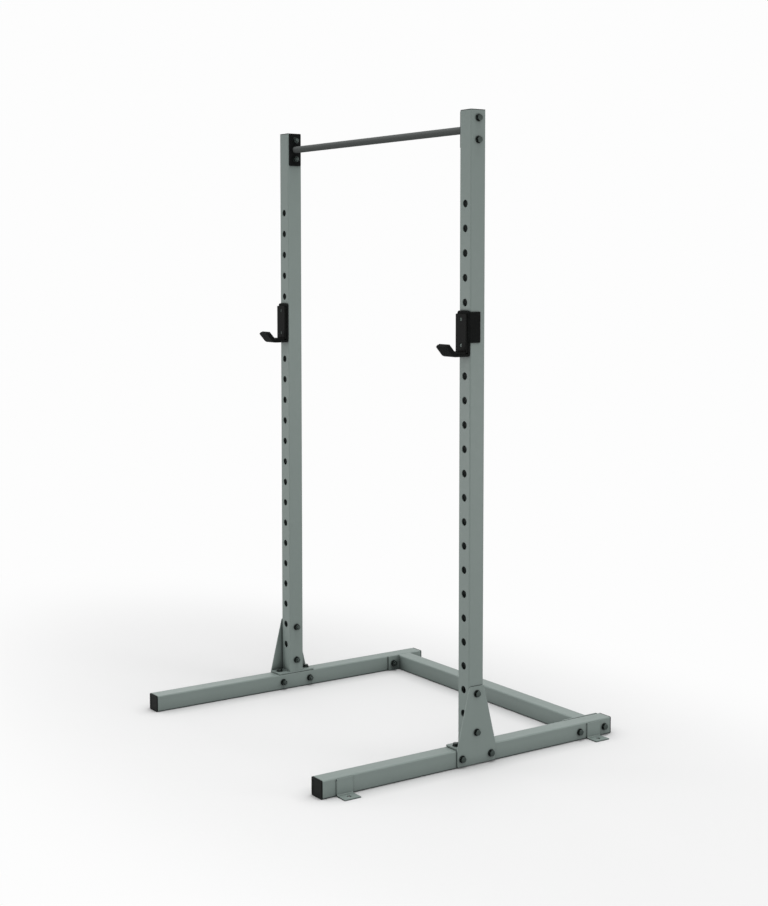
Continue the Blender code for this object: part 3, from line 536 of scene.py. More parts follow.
# %% [markdown]
# A piece is shown by putting its mesh in the scene with its finish, and saying which body it rides on and
# which plain solid it replaces. Smooth shading alone would drag the tilt of a narrow rim into the broad face
# beside it, and splitting the edges would lose the rim's soft light. So edges sharper than a set angle stay
# sharp, and a Weighted Normal modifier gives the say to the larger face, which keeps flat plate flat.

# %% Show a piece
SMOOTH_ANGLE = 32  # degrees
COUNTS = {}


def show(name, mesh, finish, node=None, matrix=None, body="frame"):
    """Put a finished piece in the scene, riding on its body."""
    if not mesh.materials:
        mesh.materials.append(finish)
    mesh.shade_smooth()
    mesh.set_sharp_from_angle(angle=math.radians(SMOOTH_ANGLE))
    piece = put(name, mesh)
    piece.modifiers.new("flat_faces", "WEIGHTED_NORMAL").keep_sharp = True
    if matrix:
        piece.matrix_world = matrix
    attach(piece, body)
    if node:
        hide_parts(node)
    COUNTS[name] = len(mesh.polygons)


# %% [markdown]
# Most of the rack is cut from flat plate or drawn as a profile, so most forms start from an outline. Its
# corners could be left to a Bevel modifier, but an arc worked out here has an exact radius, and the same
# arc serves for bent plate later on.

# %% Outlines
def arc_at(before, corner, after, radius, steps):
    """Centre of the arc that rounds a corner, and unit spokes to the points along it."""
    back = (before - corner).normalized()
    ahead = (after - corner).normalized()
    half = back.angle(ahead) / 2
    centre = corner + (back + ahead).normalized() * radius / math.sin(half)
    start = (corner + back * radius / math.tan(half) - centre).normalized()
    end = (corner + ahead * radius / math.tan(half) - centre).normalized()
    return centre, [start.slerp(end, step / steps) for step in range(steps + 1)]


def rounded(corners, radii, steps=6):
    """Closed outline with an arc at each corner; radii is one value, or one for each corner."""
    ring = [Vector((*corner, 0)) for corner in corners]
    if not isinstance(radii, (list, tuple)):
        radii = [radii] * len(ring)
    points = []
    for i, radius in enumerate(radii):
        centre, spokes = arc_at(ring[i - 1], ring[i], ring[(i + 1) % len(ring)], radius, steps)
        points += [centre + spoke * radius for spoke in spokes]
    return [(point.x, point.y) for point in points]


def rectangle(width, height, radius, steps=6):
    """Outline of a rectangle round the origin, with rounded corners."""
    x, y = width / 2, height / 2
    return rounded([(-x, -y), (x, -y), (x, y), (-x, y)], radius, steps)


def circle(radius, sides=40, centre=(0, 0)):
    """Outline of a circle; with six sides it is a hexagon."""
    turns = [2 * math.pi * i / sides for i in range(sides)]
    return [(centre[0] + radius * math.cos(t), centre[1] + radius * math.sin(t)) for t in turns]


print("points of a rounded square:", len(rectangle(1, 1, 0.1)), "and of a circle:", len(circle(1)))

# %% [markdown]
# An outline becomes plate by giving it a thickness. Faces could be pulled up one by one, but Blender's 2D
# curves fill an outline, cut its holes and round its two rims in one go: the bevel grows the outline
# outwards, and an equal negative offset takes it back to size. The rims are what catches the light on real
# plate.

# %% Extrusion
SAME_POINT = 0.005 * MM  # points closer than this are one point
FLAT_ANGLE = 0.2  # degrees; edges between faces closer to flat than this are taken out


def applied(item):
    """Mesh of an object with its modifiers applied; the object goes."""
    graph = bpy.context.evaluated_depsgraph_get()
    mesh = bpy.data.meshes.new_from_object(item.evaluated_get(graph))
    bpy.data.objects.remove(item)
    return mesh


def extrusion(name, outline, thickness, holes=(), rim=0.0, rim_steps=2):
    """Mesh of an outline with holes, thick to both sides of its plane, with rounded rims."""
    curve = bpy.data.curves.new(name, "CURVE")
    curve.dimensions = "2D"
    curve.fill_mode = "BOTH"
    curve.extrude = thickness / 2 - rim
    curve.bevel_depth = rim
    curve.bevel_resolution = rim_steps
    curve.offset = -rim
    for ring in (outline, *[hole[::-1] for hole in holes]):
        spline = curve.splines.new("POLY")
        spline.points.add(len(ring) - 1)
        for point, where in zip(spline.points, ring):
            point.co = (*where, 0, 1)
        spline.use_cyclic_u = True
    raw = applied(put(name, curve))
    bpy.data.curves.remove(curve)
    shape = bmesh.new()
    shape.from_mesh(raw)
    bpy.data.meshes.remove(raw)
    bmesh.ops.remove_doubles(shape, verts=shape.verts, dist=SAME_POINT)
    bmesh.ops.dissolve_limit(
        shape, angle_limit=math.radians(FLAT_ANGLE), verts=shape.verts, edges=shape.edges,
        delimit={"NORMAL"})
    return mesh_from(shape, name)


coin = extrusion("coin", circle(10 * MM), 2 * MM)
print("a coin:", len(coin.polygons), "faces")
bpy.data.meshes.remove(coin)

# %% [markdown]
# Square tube is rolled from strip and welded along one side, so its corners are round outside and inside,
# and its saw-cut ends are only touched with a file. It could be four plates joined, but an extrusion of the
# section with the bore as its hole gives the same walls and corners in one piece.

# %% Square tube
WALL = 3 * MM
TUBE_CORNER = 5 * MM  # outside radius


def square_tube(name, length):
    """Square tube along Z, centred on the origin, with a fine rim at each end."""
    inside = TUBE - 2 * WALL
    bore = rectangle(inside, inside, TUBE_CORNER - WALL, 4)
    section = rectangle(TUBE, TUBE, TUBE_CORNER, 8)
    return extrusion(name, section, length, [bore], rim=0.3 * MM, rim_steps=1)


print("tube wall:", round(WALL / MM, 1), "mm")

# %% [markdown]
# Forms such as drills, pins, washers and weld beads are rings of points joined by faces. A turned form
# could use Blender's Spin tool, but a list of radius and height is easier to read against a drawing. It
# goes from the bottom of the outer side to its top; a radius of 0 closes an end with a fan, and a profile
# that never reaches the axis closes on itself and makes a ring. The first one is the washer under every
# bolt head: a full disc, because the shank fills its hole.

# %% Rings and turned forms
def bridge(shape, rings, loop=False, aligned=True):
    """Join each ring of points to the next; a ring of one point makes a fan."""
    pairs = list(zip(rings, rings[1:]))
    if loop:
        pairs.append((rings[-1], rings[0]))
    for low, high in pairs:
        shift = 0
        if not aligned:
            shift = min(range(len(high)), key=lambda s: (low[0].co - high[s].co).length)
        sides = max(len(low), len(high))
        for i in range(sides):
            j = (i + 1) % sides
            corners = [low[i % len(low)], low[j % len(low)],
                       high[(j + shift) % len(high)], high[(i + shift) % len(high)]]
            shape.faces.new(list(dict.fromkeys(corners)))


def lathe(name, profile, sides=40):
    """Closed mesh of a profile of (radius, height) turned about Z."""
    shape = bmesh.new()
    rings = []
    for radius, height in profile:
        outline = circle(radius, sides) if radius else [(0, 0)]
        rings.append([shape.verts.new((*point, height)) for point in outline])
    bridge(shape, rings, loop=len(rings[0]) > 1 and len(rings[-1]) > 1)
    return mesh_from(shape, name)


WASHER, WASHER_RADIUS, WASHER_EDGE = 2.5 * MM, 12 * MM, 0.35 * MM
WASHER_FORM = lathe("washer", [
    (0, 0), (WASHER_RADIUS - WASHER_EDGE, 0), (WASHER_RADIUS, WASHER_EDGE),
    (WASHER_RADIUS, WASHER - WASHER_EDGE), (WASHER_RADIUS - WASHER_EDGE, WASHER), (0, WASHER)], 48)
print("washer:", len(WASHER_FORM.polygons), "faces")

# %% [markdown]
# A laser cuts the holes in the real tube, and the coat rounds their rims. A plain cylinder would leave a
# knife edge, which never catches the light. So each hole has a drill: a turned form with a flare at both
# surfaces that leaves a small chamfer.

# %% Drills
CLEAR = 2 * MM  # how far a tool stands past what it cuts
HOLE_CHAMFER = 0.7 * MM
CHAMFER_BEND = 0.3 * HOLE_CHAMFER
BOLT_HOLE, HOLE_SIDES = 6.6 * MM, 32


def drill(radius, depth, sides=40):
    """Drill through a piece of that depth, centred on Z 0, flared at both outer faces."""
    half = depth / 2
    flare = radius + HOLE_CHAMFER
    lower = [(0, -half - CLEAR), (flare + CLEAR, -half - CLEAR), (flare, -half),
             (radius + CHAMFER_BEND, -half + CHAMFER_BEND), (radius, -half + HOLE_CHAMFER)]
    return lathe("drill", lower + [(r, -height) for r, height in reversed(lower)], sides)


BOLT_DRILL = drill(BOLT_HOLE, TUBE, HOLE_SIDES)
print("bolt drill:", len(BOLT_DRILL.polygons), "faces")

# %% [markdown]
# Cutting the holes of a tube one after another would run a Boolean for each. Instead one mesh holds all the
# drills, each moved to its place, and a single Boolean takes them all away. The exact solver is the slow
# one, but the fast one can fail where a tool's edge lies right in a face, as the drills' flares do.

# %% Joined and cut forms
SOLVER = "EXACT"


def merged(name, pieces):
    """One mesh out of several, each given with its matrix."""
    shape = bmesh.new()
    for mesh, matrix in pieces:
        part = mesh.copy()
        part.transform(matrix)
        if matrix.is_negative:
            part.flip_normals()
        shape.from_mesh(part)
        bpy.data.meshes.remove(part)
    return mesh_from(shape, name, outwards=False)


def combined(mesh, tool, operation):
    """The mesh after a Boolean with a tool mesh."""
    body, other = put("body", mesh), put("tool", tool)
    step = body.modifiers.new("join", "BOOLEAN")
    step.object = other
    step.operation = operation
    step.solver = SOLVER
    result = applied(body)
    bpy.data.objects.remove(other)
    return result


def drilled(mesh, tool, matrices):
    """The mesh after a tool has cut it at each place."""
    return combined(mesh, merged("drills", [(tool, matrix) for matrix in matrices]), "DIFFERENCE")


print("solver of the Booleans:", SOLVER)

# %% [markdown]
# Tubes and drills are made along Z and plates flat in XY, because that is the plainest way to draw them,
# and are then turned into place. Euler angles would do, but a name such as "+x" for the way that a piece's
# Z should point is harder to get wrong.

# %% Turning and placing
def at(x, y, z):
    """Matrix that moves to a place."""
    return Matrix.Translation((x, y, z))


def facing(axis, place=(0, 0, 0)):
    """Matrix that turns Z, and what is turned about it, to point along an axis."""
    turns = {
        "+x": Matrix.Rotation(math.pi / 2, 4, "Y"), "-x": Matrix.Rotation(-math.pi / 2, 4, "Y"),
        "+y": Matrix.Rotation(-math.pi / 2, 4, "X"), "-y": Matrix.Rotation(math.pi / 2, 4, "X"),
        "+z": Matrix.Identity(4), "-z": Matrix.Rotation(math.pi, 4, "X")}
    return at(*place) @ turns[axis]


IN_XZ = Matrix.Rotation(math.pi / 2, 4, "X")  # a flat shape's Y stands up along Z
IN_YZ = Matrix.Rotation(math.pi / 2, 4, "Z") @ IN_XZ  # its X runs along Y, its Y stands up
print("Z turned to +x is", [round(value) for value in facing("+x") @ Vector((0, 0, 1))])

# %% [markdown]
# A fillet weld is a bead laid in short overlapping pools, which leaves ripples a few millimetres apart. A
# bump on a plain strip would vanish in the outline, and a curve's own bevel has one thickness. So the bead
# is made ring by ring, and the first step is to walk along the joint in steps of a quarter of a ripple.

# %% Stations along a joint
BEAD_STEP = 0.85 * MM


def stations_along(path, closed):
    """Points at each step of a bead along a path, each with its distance from the start."""
    points = [Vector(point) for point in path]
    if closed:
        points.append(points[0])
    stations = []
    travelled = 0.0
    for a, b in zip(points, points[1:]):
        length = (b - a).length
        steps = max(1, round(length / BEAD_STEP))
        stations += [(a.lerp(b, i / steps), travelled + i / steps * length) for i in range(steps)]
        travelled += length
    if not closed:
        stations.append((points[-1], travelled))
    return stations


print("stations on 10 mm of weld:", len(stations_along([(0, 0, 0), (10 * MM, 0, 0)], False)))

# %% [markdown]
# A bead's ring swells and shrinks once for each ripple, slow noise keeps it from looking machined, and an
# open end tapers off, as the arc is drawn away. A closed bead joins its last ring to its first. The coat
# runs over it like over the rest, so it needs no finish of its own.

# %% Weld beads
RIPPLE, RIPPLE_SWELL = 3.4 * MM, 0.07
WANDER, WANDER_SWELL = 9 * MM, 0.10
TAPER_RINGS, TAPER_SIZE = 2.5, 0.35
BEAD_SIDES = 8


def bead_size(radius, along, to_end, seed):
    """Radius of a bead at a distance along it, and some rings from its nearer end."""
    ripple = 1 + RIPPLE_SWELL * math.sin(2 * math.pi * along / RIPPLE)
    wander = noise.noise(Vector((along / WANDER, seed * 7.3, 0.5)))
    taper = min(1.0, TAPER_SIZE + (1 - TAPER_SIZE) * math.sqrt(min(1.0, to_end / TAPER_RINGS)))
    return radius * ripple * (1 + WANDER_SWELL * wander) * taper


def weld_bead(name, path, radius, closed=True, seed=0):
    """Rippled bead of a given radius along a path of points."""
    stations = stations_along(path, closed)
    last = len(stations) - 1
    shape = bmesh.new()
    rings = []
    for i, (where, along) in enumerate(stations):
        ahead = stations[(i + 1) % len(stations)][0] if closed or i < last else where
        behind = stations[i - 1][0] if closed or i else where
        tangent = (ahead - behind).normalized()
        side = tangent.orthogonal().normalized()
        up = tangent.cross(side)
        size = bead_size(radius, along, math.inf if closed else min(i, last - i), seed)
        ring = circle(1, BEAD_SIDES)
        rings.append([shape.verts.new(where + size * (side * x + up * y)) for x, y in ring])
    bridge(shape, rings, loop=closed, aligned=False)
    if not closed:
        shape.faces.new(rings[0])
        shape.faces.new(rings[-1])
    return mesh_from(shape, name)


print("ripples:", round(RIPPLE / MM, 1), "mm apart")

# %% [markdown]
# The upright is the rack's most worked piece: square tube with a row of pin holes through its front and
# rear walls, and cross holes for the gusset and the pull-up bar. The holes have one pitch, so that a cradle
# goes up and down in even steps. They could be dark discs laid on the tube, but through a real hole one
# sees its wall and what lies behind, so they are cut.

# %% Uprights
FLANGE = 6 * MM
FLANGE_TOP = upright_low.z + FLANGE
HOLE_RADIUS = 12.5 * MM
HOLE_PITCH = 80 * MM
HOLE_COUNT = 22
TOP_HOLE = TOP - 300 * MM
GUSSET_BOLTS_Z = (240 * MM, 110 * MM)
bar_low, bar_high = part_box("pull_up_bar")
BAR_Z = (bar_low.z + bar_high.z) / 2
BAR_BOLT_OFF = 35 * MM  # from the bar's middle to a bolt
BAR_BOLTS_Z = (BAR_Z + BAR_BOLT_OFF, BAR_Z - BAR_BOLT_OFF)

length = TOP - FLANGE_TOP
tube_mesh = square_tube("upright_tube", length)
tube_mesh.transform(at(0, 0, FLANGE_TOP + length / 2))
pin_drill = drill(HOLE_RADIUS, TUBE, 48)
drills = [(pin_drill, facing("+y", (0, 0, TOP_HOLE - i * HOLE_PITCH))) for i in range(HOLE_COUNT)]
drills += [(BOLT_DRILL, facing("+x", (0, 0, z))) for z in GUSSET_BOLTS_Z + BAR_BOLTS_Z]
tube_mesh = combined(tube_mesh, merged("drills", drills), "DIFFERENCE")
print("upright:", round(length / MM), "mm,", HOLE_COUNT, "pin holes,", len(tube_mesh.polygons), "faces")

# %% [markdown]
# Under each upright lies a base flange, a laser-cut plate that carries the bolts down into the foot. It is
# as wide as the tube, so a welder can reach only the front and the rear joint, and lays one straight bead
# on each. The plate and the beads could be one mesh with the tube, but as pieces of their own each keeps
# its own fineness, and both sides share them.

# %% Base flanges, and the uprights in place
BASE_BOLTS_Y = (-60 * MM, 60 * MM)
BEAD_LIFT = 0.5 * MM  # from the flange to the middle of a bead
BEAD_OUT = 0.8 * MM  # from the tube's face to the middle of a bead
BEAD_INSET = 4 * MM  # from the tube's side to the end of a bead
PLATE_CORNER, PLATE_RIM = 4 * MM, 0.5 * MM


def plate(name, outline, thickness, bolt_places):
    """Flat plate with rounded rims and a clearance hole for each bolt."""
    holes = [circle(BOLT_HOLE, HOLE_SIDES, place) for place in bolt_places]
    return extrusion(name, outline, thickness, holes, rim=PLATE_RIM)


def flange_beads(name, radius, seed):
    """Two straight beads where a tube, seen along Z, meets a flange of its width that is longer in Y."""
    half_length, off = TUBE / 2 - BEAD_INSET, TUBE / 2 + BEAD_OUT
    bead = weld_bead(name, [(-half_length, 0, 0), (half_length, 0, 0)], radius, False, seed)
    return merged(name, [(bead, at(0, y, 0)) for y in (-off, off)])


base_outline = rectangle(TUBE, upright_high.y - upright_low.y, PLATE_CORNER)
base_mesh = plate("base_flange", base_outline, FLANGE, [(0, y) for y in BASE_BOLTS_Y])
base_weld = flange_beads("base_weld", 2.6 * MM, 1)
for side_name, side in SIDES:
    show(f"upright_tube_{side_name}", tube_mesh, SAGE, f"upright_{side_name}", at(side * MIDDLE, 0, 0))
    show(f"base_flange_{side_name}", base_mesh, SAGE, matrix=at(side * MIDDLE, 0, FLANGE_TOP - FLANGE / 2))
    show(f"base_weld_{side_name}", base_weld, SAGE, matrix=at(side * MIDDLE, 0, FLANGE_TOP + BEAD_LIFT))
print("weld faces:", len(base_weld.polygons))

# %% [markdown]
# The gusset is plain laser-cut plate: wide where it is bolted to the foot, tapered to the tube's width at
# the top. It could be a thin box with two corners pulled in, but only the rims and the small corner radii
# keep such a plate from looking like card, so it is drawn as an outline and extruded.

# %% Gusset plates
gusset_low, gusset_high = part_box("gusset_plate_right")
half_base = (gusset_high.y - gusset_low.y) / 2
gusset_corners = [
    (-half_base, gusset_low.z), (half_base, gusset_low.z), (half_base, TUBE),
    (TUBE / 2, gusset_high.z), (-TUBE / 2, gusset_high.z), (-half_base, TUBE)]
gusset_bolts = [(0, z) for z in GUSSET_BOLTS_Z] + [(y, FOOT_MIDDLE_Z) for y in BASE_BOLTS_Y]
gusset_mesh = plate(
    "gusset", rounded(gusset_corners, 6 * MM), gusset_high.x - gusset_low.x, gusset_bolts)
gusset_x = (gusset_low.x + gusset_high.x) / 2
for side_name, side in SIDES:
    show(f"gusset_{side_name}", gusset_mesh, SAGE, f"gusset_plate_{side_name}",
         at(side * gusset_x, 0, 0) @ IN_YZ)
print("gusset faces:", len(gusset_mesh.polygons))

# %% [markdown]
# The feet are the same square tube, cut plain and laid flat on the floor. They are drilled across for the
# bolts of the gusset and of the cross member. Each could be drilled in its own place, but a foot is its own
# mirror image, so one mesh is cut on the origin and serves both sides.

# %% Feet
cross_low, cross_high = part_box("rear_cross_member")
CROSS_Y = (cross_low.y + cross_high.y) / 2
CROSS_BOLT_OFF = 57 * MM  # from the cross member's middle to a bolt
CROSS_BOLTS_Y = (CROSS_Y - CROSS_BOLT_OFF, CROSS_Y + CROSS_BOLT_OFF)

foot_mesh = square_tube("foot_tube", foot_high.y - foot_low.y)
foot_mesh.transform(IN_XZ)
foot_mesh = drilled(
    foot_mesh, BOLT_DRILL, [facing("+x", (0, y, 0)) for y in BASE_BOLTS_Y + CROSS_BOLTS_Y])
for side_name, side in SIDES:
    show(f"foot_tube_{side_name}", foot_mesh, SAGE, f"foot_{side_name}",
         at(side * MIDDLE, 0, FOOT_MIDDLE_Z))
print("foot:", round((foot_high.y - foot_low.y) / MM), "mm,", len(foot_mesh.polygons), "faces")

# %% [markdown]
# The cross member ties the two feet at the rear and keeps the uprights square to each other. It is square
# tube between two flanges, which are longer than the tube is wide, so that a bolt fits on each side of it.
# It could be drawn in one piece, but it is welded like the uprights' bases, so the same functions make its
# plates and beads, turned to face along X.

# %% Rear cross member
cross_length = cross_high.x - cross_low.x - 2 * FLANGE
cross_tube = square_tube("cross_tube", cross_length)
cross_tube.transform(facing("+x"))
show("cross_tube", cross_tube, SAGE, "rear_cross_member", at(0, CROSS_Y, FOOT_MIDDLE_Z))

end_outline = rectangle(cross_high.y - cross_low.y, TUBE, PLATE_CORNER)
end_mesh = plate("cross_flange", end_outline, FLANGE, [(y - CROSS_Y, 0) for y in CROSS_BOLTS_Y])
end_weld = flange_beads("cross_weld", 2.4 * MM, 2)
for side_name, side in SIDES:
    show(f"cross_flange_{side_name}", end_mesh, SAGE,
         matrix=at(side * (cross_high.x - FLANGE / 2), CROSS_Y, FOOT_MIDDLE_Z) @ IN_YZ)
    seam_x = side * (cross_high.x - FLANGE - BEAD_LIFT)
    show(f"cross_weld_{side_name}", end_weld, SAGE, matrix=facing("+x", (seam_x, CROSS_Y, FOOT_MIDDLE_Z)))
print("cross member:", round(cross_length / MM), "mm between its flanges")

# %% [markdown]
# The pull-up bar is round tube in the greyer grip coat. Its flanges are black plate, a little narrower than
# the upright, and lie on the upright's inner face up to the top. The bar could be a curve with a round
# bevel, but a turned ring of four points also gives it a bore and square ends. Its weld goes all the way
# round.

# %% Pull-up bar
BAR_FLANGE = 5 * MM
BAR_RADIUS, BAR_BORE = 12.5 * MM, 10 * MM
half_bar = (bar_high.x - bar_low.x) / 2 - BAR_FLANGE
bar_mesh = lathe("bar", [
    (BAR_RADIUS, -half_bar), (BAR_RADIUS, half_bar), (BAR_BORE, half_bar), (BAR_BORE, -half_bar)], 64)
show("grip_bar", bar_mesh, GRIP_COAT, "pull_up_bar", facing("+x", (0, 0, BAR_Z)))

bar_outline = rectangle(bar_high.y - bar_low.y, bar_high.z - bar_low.z, PLATE_CORNER)
bar_flange = plate("bar_flange", bar_outline, BAR_FLANGE, [(0, z - BAR_Z) for z in BAR_BOLTS_Z])
ring_path = [(x, y, 0) for x, y in circle(BAR_RADIUS + BEAD_OUT, 48)]
bar_weld = weld_bead("bar_weld", ring_path, 2.2 * MM, seed=3)
for side_name, side in SIDES:
    show(f"bar_flange_{side_name}", bar_flange, BLACK_TEXTURE,
         matrix=at(side * (bar_high.x - BAR_FLANGE / 2), 0, BAR_Z) @ IN_YZ)
    show(f"bar_weld_{side_name}", bar_weld, BLACK_TEXTURE,
         matrix=facing("+x", (side * (bar_high.x - BAR_FLANGE - 0.6 * MM), 0, BAR_Z)))
print("bar:", round(2 * half_bar / MM), "mm between its flanges")

# %% [markdown]
# Floor tabs and cradles are bent plate. A flat strip could be bent by a modifier, but its radii would then
# depend on how finely it is cut. Here the line through the middle of the plate is drawn with its bends, and
# thickened to both sides. That gives the closed outline of the strip, seen from the side, and the extrusion
# gives it its width.

# %% Bent plate outline
def bent_strip(path, inside_radii, thickness, steps=8):
    """Outline of a strip of a given thickness whose middle runs through the corners of a path."""
    ring = [Vector((*corner, 0)) for corner in path]
    left, right = [], []
    for i, corner in enumerate(ring):
        if i in (0, len(ring) - 1):
            along = (ring[1] - corner) if i == 0 else (corner - ring[i - 1])
            normal = Vector((-along.y, along.x, 0)).normalized() * thickness / 2
            left.append(corner + normal)
            right.append(corner - normal)
            continue
        middle_radius = inside_radii[i - 1] + thickness / 2
        centre, spokes = arc_at(ring[i - 1], corner, ring[i + 1], middle_radius, steps)
        turns_left = (ring[i + 1] - corner).cross(corner - ring[i - 1]).z < 0
        for spoke in spokes:
            outer = centre + spoke * (middle_radius + thickness / 2)
            inner = centre + spoke * (middle_radius - thickness / 2)
            left.append(inner if turns_left else outer)
            right.append(outer if turns_left else inner)
    return [(point.x, point.y) for point in left + right[::-1]]


print("points of a strip with one bend:", len(bent_strip([(0, 1), (0, 0), (1, 0)], [0.1], 0.1)))

# %% [markdown]
# The floor tabs are short angles, bent from 4 mm plate, with a hole for a floor bolt. They sit on the outer
# sides of the feet and are welded there by their two upright edges. Each could be modelled where it is, but
# the four are alike, so one is made and turned about, and only the beads are laid in place.

# %% Floor tabs
TAB = 4 * MM
TAB_BEND = 4 * MM  # inside radius
TAB_HOLE = 7 * MM
TAB_HOLE_OUT = 27 * MM  # from the foot's side to the middle of the hole
TAB_BEAD_OFF = 0.4 * MM  # from the tab's edge to the middle of a bead
tab_low, tab_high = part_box("floor_tab_right_front")
TAB_SEAM = (8 * MM, tab_high.z - 6 * MM)  # heights of a bead's two ends
tab_path = [(TAB / 2, tab_high.z), (TAB / 2, TAB / 2), (tab_high.x - tab_low.x, TAB / 2)]
tab_outline = bent_strip(tab_path, [TAB_BEND], TAB)
tab_mesh = extrusion("floor_tab", tab_outline, tab_high.y - tab_low.y, rim=0.6 * MM)
tab_mesh.transform(IN_XZ)
tab_hole_x = OUTER + TAB_HOLE_OUT - tab_low.x
tab_mesh = drilled(tab_mesh, drill(TAB_HOLE, TAB, HOLE_SIDES), [at(tab_hole_x, 0, TAB / 2)])
for side_name, side in SIDES:
    for end_name in ("front", "rear"):
        place_name = f"{side_name}_{end_name}"
        low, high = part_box(f"floor_tab_{place_name}")
        turn = Matrix.Identity(4) if side > 0 else Matrix.Rotation(math.pi, 4, "Z")
        root_x = low.x if side > 0 else high.x
        show(f"angle_{place_name}", tab_mesh, SAGE, f"floor_tab_{place_name}",
             at(root_x, (low.y + high.y) / 2, 0) @ turn)
        x = side * (OUTER + BEAD_OUT)
        for edge_name, y in (("a", low.y - TAB_BEAD_OFF), ("b", high.y + TAB_BEAD_OFF)):
            bead_name = f"angle_bead_{place_name}_{edge_name}"
            seam = [(x, y, z) for z in TAB_SEAM]
            show(bead_name, weld_bead(bead_name, seam, 1.9 * MM, False, 4), SAGE)
print("tab faces:", len(tab_mesh.polygons))

# %% [markdown]
# The tubes are closed by plastic caps. From outside one sees a square head with soft edges, and on the feet
# a shallow dished panel. The dish could be pressed in by moving points, but its rim would then have no
# clear edge, so a tapered tool takes it out of the head.

# %% Cap heads
DISH, DISH_MARGIN = 1.2 * MM, 9 * MM  # its depth, and the width of the flat round it
FOOT_RIM, TOP_RIM = 1.2 * MM, 0.9 * MM


def cap_head(name, thickness, rim, dish=0.0):
    """Head of a tube cap, standing on Z 0."""
    head = extrusion(name, rectangle(TUBE, TUBE, TUBE_CORNER, 8), thickness, rim=rim, rim_steps=3)
    head.transform(at(0, 0, thickness / 2))
    if dish:
        width = TUBE - 2 * DISH_MARGIN
        tool = extrusion("dish", rectangle(width, width, TUBE_CORNER), 2 * dish)
        for vertex in tool.vertices:
            if vertex.co.z > 0:
                vertex.co.xy = vertex.co.xy * (1 + 4 * dish / width)  # sides at 45 degrees
        tool.transform(at(0, 0, thickness))
        head = combined(head, tool, "DIFFERENCE")
    return head


foot_cap_low, foot_cap_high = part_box("foot_cap_right_front")
foot_head = foot_low.y - foot_cap_low.y - SEAT
FOOT_HEAD = cap_head("foot_cap_head", foot_head, FOOT_RIM, DISH)
top_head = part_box("upright_cap_right")[1].z - TOP - SEAT
TOP_HEAD = cap_head("upright_cap_head", top_head, TOP_RIM)
print("heads of the caps:", round(foot_head / MM, 1), "and", round(top_head / MM, 1), "mm thick")

# %% [markdown]
# The plug under the head is a hollow square that grips the inside of the tube. Nobody sees it, but without
# it the cap would be a lid that floats on the tube's end. One plug serves both kinds of cap. Each head
# stands off its tube by a hair, as a pressed-in cap does.

# %% Tube caps
PLUG_PLAY = 0.6 * MM
PLUG_WALL = 3 * MM


def cap(name, head, plug, depth):
    """Head and plug in one, the plug hanging down from Z 0."""
    return merged(name, [(head, Matrix.Identity(4)), (plug, at(0, 0, -depth / 2))])


plug_depth = foot_cap_high.y - foot_cap_low.y - foot_head
plug_width = TUBE - 2 * WALL - PLUG_PLAY
plug_bore = plug_width - 2 * PLUG_WALL
plug = extrusion("cap_plug", rectangle(plug_width, plug_width, 2 * MM), plug_depth,
                 [rectangle(plug_bore, plug_bore, 1 * MM)])
foot_cap = cap("foot_cap", FOOT_HEAD, plug, plug_depth)
top_cap = cap("upright_cap", TOP_HEAD, plug, plug_depth)
for side_name, side in SIDES:
    show(f"top_cap_{side_name}", top_cap, CAP_PLASTIC, f"upright_cap_{side_name}",
         at(side * MIDDLE, 0, TOP + SEAT))
    for end_name, axis, y in (("front", "-y", -foot_high.y - SEAT), ("rear", "+y", foot_high.y + SEAT)):
        show(f"end_cap_{side_name}_{end_name}", foot_cap, CAP_PLASTIC, f"foot_cap_{side_name}_{end_name}",
             facing(axis, (side * MIDDLE, y, FOOT_MIDDLE_Z)))
print("cap faces:", len(foot_cap.polygons), len(top_cap.polygons))

# %% [markdown]
# A bolt's head and a nut are hexagonal prisms whose corners are turned off on a lathe, which leaves the
# curved chamfer lines that make a hexagon look like steel. A Bevel modifier would give straight ones. So
# the form is the common part of a prism and a turned blank, as on the real machine.

# %% Hexagons
FLATS = 18 * MM
HEX_CORNER = FLATS / math.sqrt(3)
CONE_FACE = FLATS / 2 - 0.7 * MM  # radius of the round flat face
CONE_RIM = HEX_CORNER + 0.9 * MM  # radius where the cone has left the corners
CONE_HEIGHT = 0.35 * (CONE_RIM - CONE_FACE)
HEAD = 7.5 * MM
NUT = 10.5 * MM


def hexagon(name, bottom, top, chamfer_both):
    """Hexagonal prism with turned chamfers, from one height to another."""
    low, high = bottom - (CLEAR if chamfer_both else 0), top + CLEAR
    prism = extrusion(name, circle(HEX_CORNER, 6), high - low)
    prism.transform(at(0, 0, (high + low) / 2))
    blank = [(0, bottom - CLEAR), (HEX_CORNER + CLEAR, bottom - CLEAR)]
    if chamfer_both:
        blank = [(0, bottom), (CONE_FACE, bottom), (CONE_RIM, bottom + CONE_HEIGHT)]
    blank += [(CONE_RIM, top - CONE_HEIGHT), (CONE_FACE, top), (0, top)]
    turned = lathe("blank", blank, 72)
    turned.transform(Matrix.Rotation(math.radians(1.3), 4, "Z"))  # its points stay off the prism's edges
    return combined(prism, turned, "INTERSECT")


bolt_head = hexagon("bolt_head", WASHER, WASHER + HEAD, False)
print("hexagon head:", len(bolt_head.polygons), "faces")

# %% [markdown]
# A rolled thread climbs one pitch a turn. Grooves turned into the shank would look like it from afar, but
# they don't climb. Here the radius of each point depends on its height and its turn together, so the groove
# is a true helix. Its last turns run out into a chamfered tip, which finds the nut.

# %% Threads
BOLT_RADIUS = 6 * MM
THREAD_PITCH = 1.75 * MM
THREAD_DEPTH = 0.81 * MM
RINGS_PER_PITCH = 6
TIP = 1.2 * MM


